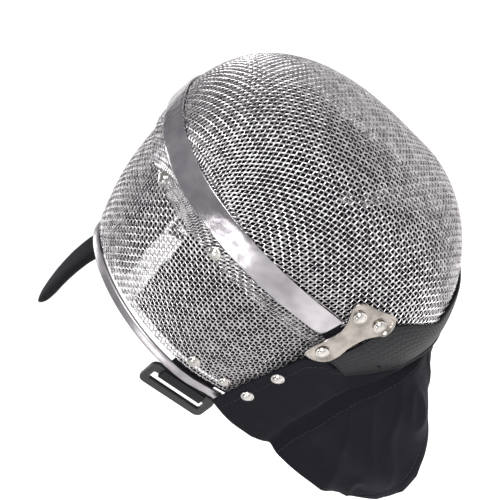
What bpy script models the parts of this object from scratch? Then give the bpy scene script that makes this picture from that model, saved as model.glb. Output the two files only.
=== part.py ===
"""Fencing mask: a steel-mesh helmet with a throat bib, as separate closed solids.

Frame: metres. +Z is up, the face looks along -Y, the wearer's left is +X.
The origin is the middle of the head at the height of the ear brackets.
"""

import math

import bmesh
import bpy
from mathutils import Matrix, Vector

MM = 0.001
GAP = 0.3 * MM

# The shell: half width and height of the ear-to-ear arch, depth of the face dome.
HALF_WIDTH = 100 * MM
SHOULDER_Z = 15 * MM
ARCH_RISE = 130 * MM
FACE_DEPTH = 90 * MM
ARCH_POWER = 2.36
FACE_POWER = 2.63
HOOP_POWER = 2.2
BAND_LEAN = 0.09
JAW_DROP = 115 * MM
CHIN_DROP = 77 * MM

# The head opening at the back.
RIM_Y = 110 * MM
RIM_LEAN = 0.15
RIM_HALF_WIDTH = 88 * MM
RIM_TOP = 112 * MM
RIM_POWER = 1.7
CROWN_BULGE = 6 * MM
MESH_FOOT_Z = -8 * MM
LEG_SHARE = 0.16  # sine of the turn at which the arch's straight legs end
INSIDE = Vector((0, 20, 30)) * MM  # a point inside the head space, for telling in from out

# Walls and steel strips.
MESH_WALL = 2 * MM
LAP_BACK = 0.20
LAP_FRONT = -0.11
LAP_DROP = 2.5 * MM
LAP_FEET = {LAP_BACK: -32 * MM, LAP_BACK / 2: -44 * MM}
BAND_WIDTH = 17 * MM
BAND_WALL = 1.2 * MM
RIM_WIDTH = 7 * MM
RIM_WALL = 3.6 * MM
TRIM_WALL = 1.6 * MM
TRIM_RISE = 0.9 * MM
HOOP_PARTS = 26
BRACKET_WALL = 1.3 * MM
CLOTH_WALL = 3.5 * MM
PAD_WALL = 8 * MM
SIDE_PAD_TOP = 0.845  # turn at which the side pads end, below the crown pad
PAD_INSET = 8.5 * MM

RIVET_RADIUS = 4.6 * MM
RIVET_RISE = 1.9 * MM
PLATE_RIVET_RADIUS = 4.2 * MM
PLATE_RIVET_RISE = 1.6 * MM
RIVET_SIDES = 12


def clear_scene():
    for obj in list(bpy.data.objects):
        bpy.data.objects.remove(obj, do_unlink=True)


def material(name, color, roughness, metallic):
    mat = bpy.data.materials.new(name)
    mat.use_nodes = True
    shader = mat.node_tree.nodes["Principled BSDF"]
    shader.inputs["Base Color"].default_value = (*color, 1.0)
    shader.inputs["Roughness"].default_value = roughness
    shader.inputs["Metallic"].default_value = metallic
    mat.diffuse_color = (*color, 1.0)
    return mat


# ---------------------------------------------------------------- shell shape
def smoothstep(value):
    value = min(1.0, max(0.0, value))
    return value * value * (3 - 2 * value)


def bow(u, power):
    """Height of a superellipse's quarter at u, from 1 at 0 to 0 at 1."""
    return max(0.0, 1.0 - min(1.0, max(0.0, u)) ** power) ** (1.0 / power)


def half_width(z):
    if z >= SHOULDER_Z:
        return HALF_WIDTH * bow((z - SHOULDER_Z) / ARCH_RISE, ARCH_POWER)
    return HALF_WIDTH * math.sqrt(max(0.0, 1.0 - ((SHOULDER_Z - z) / JAW_DROP) ** 3))


def depth(z):
    if z >= SHOULDER_Z:
        return FACE_DEPTH * bow((z - SHOULDER_Z) / ARCH_RISE, FACE_POWER)
    if z >= 0:
        return FACE_DEPTH
    return FACE_DEPTH * math.sqrt(max(0.0, 1.0 - (z / CHIN_DROP) ** 2))


def signed_power(value, power):
    return math.copysign(abs(value) ** power, value)


def hoop(z, turn):
    """A point of the face dome: turn 0 is the right side, half a turn of pi the left."""
    c, s = math.cos(turn), math.sin(turn)
    x = -half_width(z) * signed_power(c, 2 / HOOP_POWER)
    y = BAND_LEAN * z - depth(z) * abs(s) ** (2 / HOOP_POWER)
    return Vector((x, y, z))


def arch(back, turn, foot=MESH_FOOT_Z):
    """A point of the back mesh: back runs from 0 at the band to 1 at the rim."""
    c, s = math.cos(turn), math.sin(turn)
    width = HALF_WIDTH + (RIM_HALF_WIDTH - HALF_WIDTH) * back
    rise = ARCH_RISE + (RIM_TOP - SHOULDER_Z - ARCH_RISE) * back
    power = ARCH_POWER + (RIM_POWER - ARCH_POWER) * back
    if s < LEG_SHARE:
        x = -math.copysign(width, c)
        z = foot + (SHOULDER_Z - foot) * s / LEG_SHARE
    else:
        leg_turn = math.asin(LEG_SHARE)
        angle = (math.asin(min(1.0, s)) - leg_turn) / (math.pi / 2 - leg_turn) * math.pi / 2
        x = -math.copysign(width * math.cos(angle) ** (2 / power), c)
        z = SHOULDER_Z + rise * math.sin(angle) ** (2 / power)
    y = BAND_LEAN * z * (1 - back) + (RIM_Y + RIM_LEAN * z) * back
    bulge = CROWN_BULGE * 4 * back * (1 - back) * smoothstep((s - 0.5) / 0.5) if 0 < back < 1 else 0.0
    return Vector((x, y, z)) + Vector((x * 0.4, 0, z - SHOULDER_Z)).normalized() * bulge


def front_arch(front, turn, foot):
    """The dome cut by a plane a share `front` of its depth ahead of the band."""
    reach = front * FACE_DEPTH
    top = SHOULDER_Z + ARCH_RISE * bow(reach / FACE_DEPTH, FACE_POWER)
    s = math.sin(turn)
    z = foot + (top - foot) * s ** 0.8
    share = min(1.0, reach / max(1e-6, depth(z)))
    x = half_width(z) * bow(share, HOOP_POWER)
    return Vector((-math.copysign(x, math.cos(turn)), BAND_LEAN * z - reach, z))


def skin(along, turn, foot=MESH_FOOT_Z):
    """A point of the whole shell: along is -1 at the face, 0 at the band, 1 at the rim."""
    if along < 0:
        return front_arch(-along, turn, foot)
    return arch(along, turn, foot)


def skin_normal(along, turn, foot=MESH_FOOT_Z):
    """The outward normal of the shell, from small steps along it."""
    step = 0.01
    inside = min(max(turn, 2 * step), math.pi - 2 * step)
    du = skin(min(1.0, along + step), inside, foot) - skin(along - step, inside, foot)
    dv = skin(along, inside + step, foot) - skin(along, inside - step, foot)
    normal = du.cross(dv)
    normal.normalize()
    if normal.dot(skin(along, inside, foot) - INSIDE) < 0:
        normal.negate()
    return normal


def offset_skin(along, turn, rise, foot=MESH_FOOT_Z):
    return skin(along, turn, foot) + skin_normal(along, turn, foot) * rise


# ---------------------------------------------------------------- mesh helpers
def finish_object(name, mesh_data, mat, smooth=40):
    obj = bpy.data.objects.new(name, mesh_data)
    bpy.context.scene.collection.objects.link(obj)
    mesh_data.materials.append(mat)
    mesh_data.shade_smooth()
    mesh_data.set_sharp_from_angle(angle=math.radians(smooth))
    return obj


def sheet_solid(name, rows, mat, wall):
    """A closed wall grown inwards from a grid of points on its outer face."""
    bm = bmesh.new()
    grid = [[bm.verts.new(p) for p in row] for row in rows]
    for lower, upper in zip(grid, grid[1:]):
        for i in range(len(lower) - 1):
            bm.faces.new((lower[i], lower[i + 1], upper[i + 1], upper[i]))
    bmesh.ops.remove_doubles(bm, verts=bm.verts, dist=0.02 * MM)
    bmesh.ops.dissolve_degenerate(bm, edges=bm.edges, dist=0.01 * MM)
    bm.normal_update()
    outward = sum(f.normal.dot(f.calc_center_median() - INSIDE) * f.calc_area() for f in bm.faces)
    if outward < 0:
        bmesh.ops.reverse_faces(bm, faces=bm.faces)
    mesh = bpy.data.meshes.new(name)
    bm.to_mesh(mesh)
    bm.free()
    obj = finish_object(name, mesh, mat)
    wallmod = obj.modifiers.new("wall", "SOLIDIFY")
    wallmod.thickness = wall
    wallmod.offset = -1
    wallmod.use_even_offset = False
    wallmod.use_quality_normals = True
    return obj


def extruded(name, outline, mat, direction, bevel=0.0):
    """A flat closed outline grown along a direction into a solid, with its edges eased."""
    bm = bmesh.new()
    face = bm.faces.new([bm.verts.new(p) for p in outline])
    grown = bmesh.ops.extrude_face_region(bm, geom=[face])
    moved = [g for g in grown["geom"] if isinstance(g, bmesh.types.BMVert)]
    bmesh.ops.translate(bm, verts=moved, vec=direction)
    bmesh.ops.recalc_face_normals(bm, faces=bm.faces)
    mesh = bpy.data.meshes.new(name)
    bm.to_mesh(mesh)
    bm.free()
    obj = finish_object(name, mesh, mat, 30)
    if bevel:
        ease = obj.modifiers.new("eased edges", "BEVEL")
        ease.width = bevel
        ease.segments = 2
        ease.limit_method = "ANGLE"
        ease.angle_limit = math.radians(50)
    return obj


def curve_points(stations, count):
    """Points evenly spread on a smooth curve through the stations (Catmull-Rom)."""
    pts = [Vector(p) for p in stations]
    ends = [pts[0] * 2 - pts[1]] + pts + [pts[-1] * 2 - pts[-2]]
    out = []
    for k in range(count):
        place = k / (count - 1) * (len(pts) - 1)
        i = min(int(place), len(pts) - 2)
        t = place - i
        a, b, c, d = ends[i : i + 4]
        out.append(0.5 * (2 * b + (c - a) * t + (2 * a - 5 * b + 4 * c - d) * t * t
                          + (3 * b - a - 3 * c + d) * t ** 3))
    return out


def mirrored(points):
    return [Vector((-p.x, p.y, p.z)) for p in points]


# ---------------------------------------------------------------- steel mesh
def chin_foot(turn):
    """Lowest edge of the face mesh, from the side of the jaw to under the chin."""
    return (-53 - 17 * abs(math.sin(turn)) ** 0.8) * MM


def column_foot(column):
    kind, value, _ = column
    return LAP_FEET[value] if kind == "lap" else chin_foot(value)


def trim_top(turn):
    """Upper edge of the chin trim: high at the bracket, low across the chin."""
    turned = math.degrees(min(turn, math.pi - turn))
    return (-14 - 32 * smoothstep((turned - 11) / 22) - 9 * smoothstep((turned - 33) / 40)) * MM


def face_point(z, column, rise):
    """A point on the face mesh's outer side. Columns past the hoop's ends lap behind the band."""
    kind, value, side = column
    if kind == "lap":
        level = max(z, MESH_FOOT_Z)
        turn = arch_turn(level)
        turn = turn if side < 0 else math.pi - turn
        p = offset_skin(value, turn, rise)
        if z < MESH_FOOT_Z:
            narrower = half_width(z) - half_width(MESH_FOOT_Z)
            p = Vector((p.x + side * narrower, p.y + BAND_LEAN * (z - level), z))
        return p
    p = hoop(z, value)
    return p + hoop_normal(z, value) * rise


def hoop_normal(z, turn):
    step = 0.5 * MM
    inside = min(max(turn, 0.03), math.pi - 0.03)
    dz = hoop(z + step, inside) - hoop(z - step, inside)
    dt = hoop(z, inside + 0.02) - hoop(z, inside - 0.02)
    normal = dt.cross(dz)
    normal.normalize()
    if normal.dot(hoop(z, inside) - Vector((0, 20 * MM, min(z, 40 * MM)))) < 0:
        normal.negate()
    return normal


def arch_turn(z):
    """The turn at which the band's arch passes height z on the right side."""
    if z <= SHOULDER_Z:
        return math.asin(LEG_SHARE * (z - MESH_FOOT_Z) / (SHOULDER_Z - MESH_FOOT_Z))
    share = min(1.0, (z - SHOULDER_Z) / ARCH_RISE)
    angle = math.asin(share ** (ARCH_POWER / 2))
    leg_turn = math.asin(LEG_SHARE)
    return leg_turn + angle / (math.pi / 2) * (math.pi / 2 - leg_turn)


def mesh_columns():
    """The face mesh's columns, from the right lap's end round the front to the left one's."""
    laps = (LAP_BACK, LAP_BACK / 2)
    columns = [("lap", v, -1) for v in laps]
    columns += [("hoop", math.pi * k / HOOP_PARTS, 0) for k in range(HOOP_PARTS + 1)]
    columns += [("lap", v, 1) for v in reversed(laps)]
    return columns


def face_rows(levels=20, low_levels=6):
    columns = mesh_columns()
    rows = []
    for k in range(low_levels):
        share = 1 - k / low_levels
        row = []
        for column in columns:
            foot = column_foot(column)
            row.append(face_point(foot * share, column, MESH_WALL / 2))
        rows.append(row)
    for k in range(levels + 1):
        angle = math.pi / 2 * k / levels
        z = (SHOULDER_Z + ARCH_RISE) * math.sin(angle) ** (2 / ARCH_POWER)
        rows.append([face_point(z, column, MESH_WALL / 2) for column in columns])
    apex = rows[-1]
    top = offset_skin(0, math.pi / 2, MESH_WALL / 2)
    middle = Vector((0, BAND_LEAN * (SHOULDER_Z + ARCH_RISE), top.z))
    for i, column in enumerate(columns):
        if column[0] == "hoop":
            apex[i] = middle
    return rows


def build_face_mesh(mat):
    return sheet_solid("face_mesh", face_rows(), mat, MESH_WALL)


def lapped_rise(along):
    """The back mesh runs under the face mesh where they lap, and comes level behind it."""
    return -LAP_DROP * (1 - smoothstep((along - 0.22) / 0.4)) + MESH_WALL / 2


def build_back_mesh(mat, turns=40, steps=9):
    """The mesh over the crown and sides. Its front edge laps further forward over the top."""
    end = 1 - 0.034
    rows = []
    for k in range(turns + 1):
        turn = math.pi * k / turns
        front = LAP_FRONT * smoothstep((math.sin(turn) - 0.45) / 0.15)
        row = []
        for j in range(steps + 1):
            along = front + (end - front) * j / steps
            row.append(offset_skin(along, turn, lapped_rise(along)))
        rows.append(row)
    return sheet_solid("back_mesh", rows, mat, MESH_WALL)


# ---------------------------------------------------------------- steel strips
def strip_rows(width, rise, foot_turn, centre, segments):
    """A straight-sided strip standing off the arch, its width running along Y."""
    rows = []
    for k in range(segments + 1):
        turn = foot_turn + (math.pi - 2 * foot_turn) * k / segments
        point = skin(centre, turn)
        step = 0.02
        tangent = skin(centre, min(math.pi, turn + step)) - skin(centre, max(0.0, turn - step))
        tangent.y = 0
        outward = Vector((-tangent.z, 0, tangent.x)).normalized()
        if outward.dot(point - Vector((0, point.y, 20 * MM))) < 0:
            outward.negate()
        base = point + outward * rise
        rows.append([base + Vector((0, side * width / 2, 0)) for side in (-1, 1)])
    return rows


def build_band(mat):
    low_turn = 0.115
    rise = MESH_WALL / 2 + GAP + BAND_WALL
    rows = strip_rows(BAND_WIDTH, rise, low_turn, 0.0, 48)
    return sheet_solid("forehead_band", rows, mat, BAND_WALL)


def build_rim(mat):
    """The folded steel strip round the head opening, behind the mesh's end."""
    rows = strip_rows(RIM_WIDTH, RIM_WALL / 2, 0.0, 1.0, 48)
    return sheet_solid("rear_rim", rows, mat, RIM_WALL)


# ---------------------------------------------------------------- ear brackets
BRACKET_OUTLINE = [
    (25.5, 3.5), (25.0, -3.0), (21.5, -9.0), (16.0, -11.8), (9.5, -11.6), (3.0, -10.0),
    (-4.0, -9.2), (-11.0, -10.0), (-17.0, -13.0), (-22.0, -15.6), (-27.5, -15.0), (-32.0, -12.0),
    (-33.5, -8.0), (-31.0, 0.0), (-28.0, 8.0), (-25.5, 13.5), (-22.0, 15.6), (-18.5, 14.5),
    (-16.0, 12.0), (-10.5, 8.5), (-4.0, 5.5), (3.0, 5.0), (9.0, 6.0), (16.0, 6.6), (22.0, 6.2),
]
BRACKET_RIVETS = [(15.9, -2.1), (-18.6, 6.4), (-23.2, -8.0)]


def side_x(y, rise):
    """How far out the right side's face lies at y, standing off the shell by rise."""
    bend = 0.0
    if y < 0:
        share = min(1.0, -y / FACE_DEPTH)
        bend = HALF_WIDTH * (1 - bow(share, HOOP_POWER))
    return -(HALF_WIDTH + rise - bend)


def build_bracket(name, side, mat):
    rise = MESH_WALL / 2 + TRIM_RISE + TRIM_WALL + GAP
    bm = bmesh.new()
    face = bm.faces.new([bm.verts.new((0, y * MM, z * MM)) for y, z in BRACKET_OUTLINE])
    for y in range(-28, 24, 6):
        geom = list(bm.verts) + list(bm.edges) + list(bm.faces)
        bmesh.ops.bisect_plane(bm, geom=geom, dist=1e-7, plane_co=(0, y * MM, 0), plane_no=(0, 1, 0))
    bmesh.ops.triangulate(bm, faces=bm.faces)
    grown = bmesh.ops.extrude_face_region(bm, geom=list(bm.faces))
    outer = {g for g in grown["geom"] if isinstance(g, bmesh.types.BMVert)}
    for v in bm.verts:
        lift = rise + (BRACKET_WALL if v in outer else 0)
        v.co.x = side_x(v.co.y, lift) * (1 if side < 0 else -1)
    bmesh.ops.recalc_face_normals(bm, faces=bm.faces)
    mesh = bpy.data.meshes.new(name)
    bm.to_mesh(mesh)
    bm.free()
    return finish_object(name, mesh, mat, 30)


# ---------------------------------------------------------------- rivets
def build_rivet(name, foot, normal, mat, radius=RIVET_RADIUS, rise=RIVET_RISE):
    """A low round head turned about its axis, standing on a point of the surface."""
    profile = [(radius, 0.0), (radius, rise * 0.25), (radius * 0.86, rise * 0.62),
               (radius * 0.55, rise * 0.9), (0.0, rise)]
    bm = bmesh.new()
    verts = [bm.verts.new((r, 0, z)) for r, z in profile]
    edges = [bm.edges.new((a, b)) for a, b in zip(verts, verts[1:])]
    bmesh.ops.spin(bm, geom=verts + edges, cent=(0, 0, 0), axis=(0, 0, 1), angle=math.tau,
                   steps=RIVET_SIDES, use_merge=True, use_normal_flip=False, use_duplicate=False)
    bmesh.ops.remove_doubles(bm, verts=bm.verts, dist=0.01 * MM)
    rim = [e for e in bm.edges if e.is_boundary]
    bmesh.ops.contextual_create(bm, geom=rim)
    bmesh.ops.recalc_face_normals(bm, faces=bm.faces)
    mesh = bpy.data.meshes.new(name)
    bm.to_mesh(mesh)
    bm.free()
    obj = finish_object(name, mesh, mat)
    obj.location = foot
    obj.rotation_euler = normal.to_track_quat("Z", "Y").to_euler()
    return obj


def arch_spot(along, z, rise):
    """The right side's point at height z, with its normal, standing off by rise."""
    low, high = 0.0, math.pi / 2
    for _ in range(40):
        middle = (low + high) / 2
        if skin(along, middle).z < z:
            low = middle
        else:
            high = middle
    normal = skin_normal(along, low)
    return skin(along, low) + normal * rise, normal


def along_for(y, z):
    """The share from band to rim at which the back mesh passes y, at height z."""
    start = BAND_LEAN * z
    return (y - start) / (RIM_Y + RIM_LEAN * z - start)


MESH_RIVETS = [(31, 130), (25, 88), (96, 31), (93, 4)]
CLOTH_RIVETS = [(86, -12), (57, -9)]


def build_rivets(mat):
    for side, word in ((-1, "right"), (1, "left")):
        flip = Matrix.Diagonal((-side, 1, 1))
        for k, (y, z) in enumerate(MESH_RIVETS):
            along = along_for(y * MM, z * MM)
            foot, normal = arch_spot(along, z * MM, MESH_WALL / 2 + GAP)
            build_rivet(f"mesh_rivet_{word}_{k + 1}", flip @ foot, flip @ normal, mat)
        for k, (y, z) in enumerate(BRACKET_RIVETS):
            rise = MESH_WALL / 2 + TRIM_RISE + TRIM_WALL + BRACKET_WALL + 2 * GAP
            foot = Vector((side_x(y * MM, rise), y * MM, z * MM))
            near = Vector((side_x((y + 1) * MM, rise), (y + 1) * MM, z * MM))
            slope = near - foot
            normal = Vector((-slope.y, slope.x, 0)).normalized()
            build_rivet(f"bracket_rivet_{word}_{k + 1}", flip @ foot, flip @ normal, mat,
                        PLATE_RIVET_RADIUS, PLATE_RIVET_RISE)
        for k, (y, z) in enumerate(CLOTH_RIVETS):
            foot, normal = bib_spot(y * MM, z * MM)
            foot += normal * 1.5 * GAP
            build_rivet(f"cloth_rivet_{word}_{k + 1}", flip @ foot, flip @ normal, mat)


# ---------------------------------------------------------------- chin trim
def build_trim(mat, bands=4):
    """The padded strip over the lower edge of the face mesh."""
    rise = MESH_WALL / 2 + TRIM_RISE + TRIM_WALL
    rows = []
    for j in range(bands + 1):
        row = []
        for column in mesh_columns():
            low = column_foot(column)
            top = trim_top(0.0 if column[0] == "lap" else column[1])
            row.append(face_point(low + (top - low) * j / bands, column, rise))
        rows.append(row)
    return sheet_solid("chin_trim", rows, mat, TRIM_WALL)


# ---------------------------------------------------------------- bib
# Stations of the outer face run from the rear corner of the right side to the middle, in mm.
BIB_FOLD = [(-99.5, 106.5, -60), (-99.0, 86, -55), (-99.0, 62, -52), (-99.5, 44, -50), (-98.5, 28, -50),
            (-95.0, 12, -55), (-87.0, -4, -65), (-72.0, -13, -75), (-44.0, -21, -83), (0.0, -24, -86)]
BIB_HEM = [(-105.0, 97, -140), (-105.5, 87, -156), (-105.0, 75, -163), (-104.0, 60, -162),
           (-101.0, 46, -157), (-95.0, 30, -147), (-84.0, 19, -137), (-66.0, 13, -131),
           (-38.0, 9, -128), (0.0, 8, -127)]
BIB_REAR = [(111, -3), (88, -3), (66, -3), (46, -3), (31, -3)]
BIB_STEP = [-12, -22]
BIB_BULGE = 5 * MM
BIB_REAR_BOW = 5 * MM
BIB_JOIN = 1.0 * MM
BIB_ROWS_ABOVE = 5
BIB_ROWS_BELOW = 8


def bib_top():
    """The sewn edge: over the foot of the back mesh, down the end of the trim, along its foot."""
    rise = MESH_WALL / 2 + GAP + CLOTH_WALL
    rear = []
    for y, z in BIB_REAR:
        width = HALF_WIDTH + (RIM_HALF_WIDTH - HALF_WIDTH) * y * MM / RIM_Y
        over = rise + (RIM_WALL / 2 - MESH_WALL / 2 + 0.5 * MM) * smoothstep((y - 80) / 22)
        rear.append(Vector((-width - over, y * MM, z * MM)))
    trim_end = face_point(-20 * MM, ("lap", LAP_BACK, -1), rise)
    step = [Vector((-HALF_WIDTH - rise + 1.2 * MM, trim_end.y + 2 * BIB_JOIN, z * MM)) for z in BIB_STEP]
    foot = []
    for column in [("lap", LAP_BACK, -1), ("lap", LAP_BACK / 2, -1)]:
        foot.append(face_point(column_foot(column) - BIB_JOIN, column, MESH_WALL / 2 + TRIM_RISE + TRIM_WALL))
    for degrees in (0, 8, 18, 30, 45, 60, 75, 90):
        turn = math.radians(degrees)
        column = ("hoop", turn, 0)
        foot.append(face_point(chin_foot(turn) - BIB_JOIN, column, MESH_WALL / 2 + TRIM_RISE + TRIM_WALL))
    foot[-1].x = 0.0
    return rear + step + foot


def bib_grid():
    """Rows of the bib's outer face, from its sewn edge over the fold down to its hem."""
    top = bib_top()
    count = len(top)
    edges = [top + mirrored(top[:-1])[::-1]]
    for stations in (BIB_FOLD, BIB_HEM):
        right = curve_points([Vector(p) * MM for p in stations], count)
        edges.append(right + mirrored(right[:-1])[::-1])
    top, fold, hem = edges
    rows = []
    for k in range(BIB_ROWS_ABOVE + 1):
        t = k / BIB_ROWS_ABOVE
        bow_out = Vector((0, BIB_REAR_BOW * math.sin(math.pi * t), 0))
        rows.append([a.lerp(b, t) + bow_out * smoothstep((a.y - 80 * MM) / (31 * MM))
                     for a, b in zip(top, fold)])
    for k in range(1, BIB_ROWS_BELOW + 1):
        t = k / BIB_ROWS_BELOW
        row = []
        for a, b in zip(fold, hem):
            point = a.lerp(b, t)
            out = Vector((point.x, point.y - 60 * MM, 0))
            out.normalize()
            row.append(point + out * BIB_BULGE * math.sin(math.pi * t))
        rows.append(row)
    return rows


def bib_spot(y, z):
    """The right side's point of the bib above its fold at y and z, with its normal."""
    rows = bib_grid()
    top, fold = rows[0], rows[BIB_ROWS_ABOVE]
    found = []
    for a, b in zip(top, fold):
        t = (z - a.z) / (b.z - a.z)
        found.append(a.lerp(b, t))
    for k in range(len(found) - 1):
        a, b = found[k], found[k + 1]
        if (a.y - y) * (b.y - y) <= 0 and a.x < 0:
            place = a.lerp(b, (y - a.y) / (b.y - a.y))
            normal = (fold[k] - top[k]).cross(b - a).normalized()
            return place, -normal if normal.x > 0 else normal
    return found[0], Vector((-1, 0, 0))


def build_bib(mat):
    return sheet_solid("bib", bib_grid(), mat, CLOTH_WALL)


# ---------------------------------------------------------------- tongue
# Right-side profile of the sprung tongue: y, z and half width of its middle line, in mm.
TONGUE = [(64, 113, 16), (90, 107.5, 17), (110, 103, 17.5), (128, 101.4, 17.5), (150, 102.8, 17.5),
          (172, 102, 17), (190, 99.5, 15.5), (205, 96.5, 11.5), (213, 95, 7.5), (218, 94, 3.5)]
TONGUE_WALL = 7.4 * MM


def build_tongue(mat, rings=30, sides=16):
    """A flat padded tongue: an oval section that narrows to the sewn tip."""
    line = curve_points([Vector(p) * MM for p in TONGUE], rings)
    bm = bmesh.new()
    loops = []
    for k, (y, z, half) in enumerate(line):
        thick = TONGUE_WALL / 2 * min(1.0, 0.45 + (rings - 1 - k) / 8.0)
        loop = []
        for j in range(sides):
            turn = math.tau * j / sides
            x = half * signed_power(math.cos(turn), 0.55)
            h = thick * signed_power(math.sin(turn), 0.8)
            loop.append(bm.verts.new((x, y, z + h)))
        loops.append(loop)
    for a, b in zip(loops, loops[1:]):
        for j in range(sides):
            bm.faces.new((a[j], a[(j + 1) % sides], b[(j + 1) % sides], b[j]))
    bm.faces.new(loops[0])
    bm.faces.new(loops[-1])
    bmesh.ops.recalc_face_normals(bm, faces=bm.faces)
    mesh = bpy.data.meshes.new("tongue")
    bm.to_mesh(mesh)
    bm.free()
    return finish_object("tongue", mesh, mat)


# ---------------------------------------------------------------- lining pads
PAD_RAISED = 3.5 * MM  # the pads lie closer to the mesh near the head opening


def pad_foot(along):
    """The pads end at the back mesh's foot, and reach lower ahead of the band."""
    return MESH_FOOT_Z - 20 * MM * smoothstep(-along / 0.3)


def pad_rows(first, last, low_turn, high_turn, steps, turns):
    rows = []
    for k in range(turns + 1):
        share = k / turns
        row = []
        for j in range(steps + 1):
            along = first + (last - first) * j / steps
            low, high = low_turn(along), high_turn(along)
            rise = -PAD_INSET + LAP_DROP + PAD_RAISED * smoothstep((along - 0.5) / 0.3)
            row.append(offset_skin(along, low + (high - low) * share, rise, pad_foot(along)))
        rows.append(row)
    return rows


def build_side_pads(mat):
    for side, word in ((-1, "right"), (1, "left")):
        rows = pad_rows(-0.62, 0.92, lambda a: 0.02, lambda a: SIDE_PAD_TOP, 16, 9)
        if side > 0:
            rows = [mirrored(row) for row in rows]
        sheet_solid(f"side_pad_{word}", rows, mat, PAD_WALL)


def build_crown_pad(mat):
    def low(along):
        """The gap to the side pads widens behind the band."""
        return SIDE_PAD_TOP + 0.045 + 0.08 * smoothstep((along - 0.1) / 0.2)

    rows = pad_rows(-0.42, 0.86, low, lambda a: math.pi - low(a), 12, 18)
    sheet_solid("crown_pad", rows, mat, PAD_WALL)


# ---------------------------------------------------------------- strap buckles
BUCKLE_LENGTH = 55 * MM
BUCKLE_DEPTH = 21.5 * MM
BUCKLE_WALL = 3.2 * MM
SLOT_LENGTH = 44 * MM
OUTER_BAR = 6.5 * MM
INNER_BAR = 7.5 * MM
TAB_WIDTH = 36 * MM
TAB_WALL = 1.4 * MM
TAB_TAIL = 12 * MM
BUCKLE_CENTRE = Vector((-86.0, 128.2, 15.0)) * MM
BUCKLE_RISE_AXIS = Vector((0.10, 0.14, 0.985)).normalized()


def buckle_frame():
    """The buckle's own axes: U along the rim, V away from it, N outwards."""
    u = BUCKLE_RISE_AXIS
    v = Vector((0, 1, 0))
    v = (v - u * v.dot(u)).normalized()
    n = u.cross(v).normalized()
    if n.x > 0:
        n.negate()
    return u, v, n


def rounded_box_outline(long_half, short_half, corner, segments=4):
    points = []
    for cx, cy, start in ((1, 1, 0), (-1, 1, 90), (-1, -1, 180), (1, -1, 270)):
        for k in range(segments + 1):
            a = math.radians(start + 90 * k / segments)
            points.append((cx * (long_half - corner) + corner * math.cos(a),
                           cy * (short_half - corner) + corner * math.sin(a)))
    return points


def build_buckle(side, word, plastic, webbing):
    u, v, n = buckle_frame()

    def place(point):
        world = BUCKLE_CENTRE + u * point[0] + v * point[1] + n * point[2]
        return Vector((world.x * -side, world.y, world.z))

    name = f"buckle_{word}"
    outer = rounded_box_outline(BUCKLE_LENGTH / 2, BUCKLE_DEPTH / 2, 5 * MM)
    frame = extruded(name, [Vector((a, b, -BUCKLE_WALL / 2)) for a, b in outer], plastic,
                     Vector((0, 0, BUCKLE_WALL)))
    slot = BUCKLE_DEPTH - OUTER_BAR - INNER_BAR
    middle = BUCKLE_DEPTH / 2 - OUTER_BAR - slot / 2
    hole = [(a, b + middle) for a, b in rounded_box_outline(SLOT_LENGTH / 2, slot / 2, MM)]
    cutter = extruded(f"{name}_slot", [Vector((a, b, -BUCKLE_WALL)) for a, b in hole],
                      plastic, Vector((0, 0, 2 * BUCKLE_WALL)))
    cutter.hide_render = True
    cutter.display_type = "WIRE"
    cut = frame.modifiers.new("slot", "BOOLEAN")
    cut.operation = "DIFFERENCE"
    cut.object = cutter
    place_mesh(cutter, place)
    place_mesh(frame, place)
    ease = frame.modifiers.new("eased edges", "BEVEL")
    ease.width = 0.7 * MM
    ease.segments = 2
    ease.limit_method = "ANGLE"
    ease.angle_limit = math.radians(50)
    # The webbing comes out past the rim, round the inner bar and back inside.
    near = -BUCKLE_DEPTH / 2 + GAP
    far = -BUCKLE_DEPTH / 2 + INNER_BAR + GAP
    half = BUCKLE_WALL / 2 + GAP
    tail = near - TAB_TAIL
    path = [(tail, -half), (far, -half), (far, half), (near, half), (near, half + TAB_WALL),
            (far + TAB_WALL, half + TAB_WALL), (far + TAB_WALL, -half - TAB_WALL),
            (tail, -half - TAB_WALL)]
    low = -TAB_WIDTH / 2
    tab = extruded(f"strap_tab_{word}", [Vector((low, b, c)) for b, c in path], webbing,
                   Vector((TAB_WIDTH, 0, 0)))
    place_mesh(tab, place)


def place_mesh(obj, place):
    """Moves every vertex of a piece to its place, and turns its faces right if it was mirrored."""
    for vertex in obj.data.vertices:
        vertex.co = place(vertex.co)
    bm = bmesh.new()
    bm.from_mesh(obj.data)
    bmesh.ops.recalc_face_normals(bm, faces=bm.faces)
    bm.to_mesh(obj.data)
    bm.free()


# ---------------------------------------------------------------- assembly
def main():
    clear_scene()
    wire = material("steel wire mesh", (0.62, 0.61, 0.60), 0.3, 1.0)
    strip = material("polished steel strip", (0.72, 0.71, 0.72), 0.22, 1.0)
    plate = material("nickelled steel plate", (0.66, 0.64, 0.62), 0.32, 1.0)
    cloth = material("black bib cloth", (0.013, 0.012, 0.018), 0.85, 0.0)
    edging = material("black edge cloth", (0.02, 0.02, 0.024), 0.6, 0.0)
    padding = material("black padding", (0.012, 0.012, 0.014), 0.9, 0.0)
    plastic = material("black acetal", (0.015, 0.015, 0.018), 0.4, 0.0)
    webbing = material("black webbing", (0.02, 0.02, 0.022), 0.8, 0.0)
    build_face_mesh(wire)
    build_back_mesh(wire)
    build_band(strip)
    build_rim(strip)
    build_trim(edging)
    for side, word in ((-1, "right"), (1, "left")):
        build_bracket(f"ear_bracket_{word}", side, plate)
        build_buckle(1 if side > 0 else -1, word, plastic, webbing)
    build_rivets(plate)
    build_bib(cloth)
    build_tongue(padding)
    build_side_pads(padding)
    build_crown_pad(padding)


main()
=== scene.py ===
# %% [markdown]
# # A fencing mask in woven steel wire
# The imported model gives the frame: every piece below is made where its solid lies, in metres.
# No piece may grow out of it.

# %% Load the frame
import math

import bmesh
import bpy
import numpy as np
from mathutils import Matrix, Vector, noise


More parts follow.
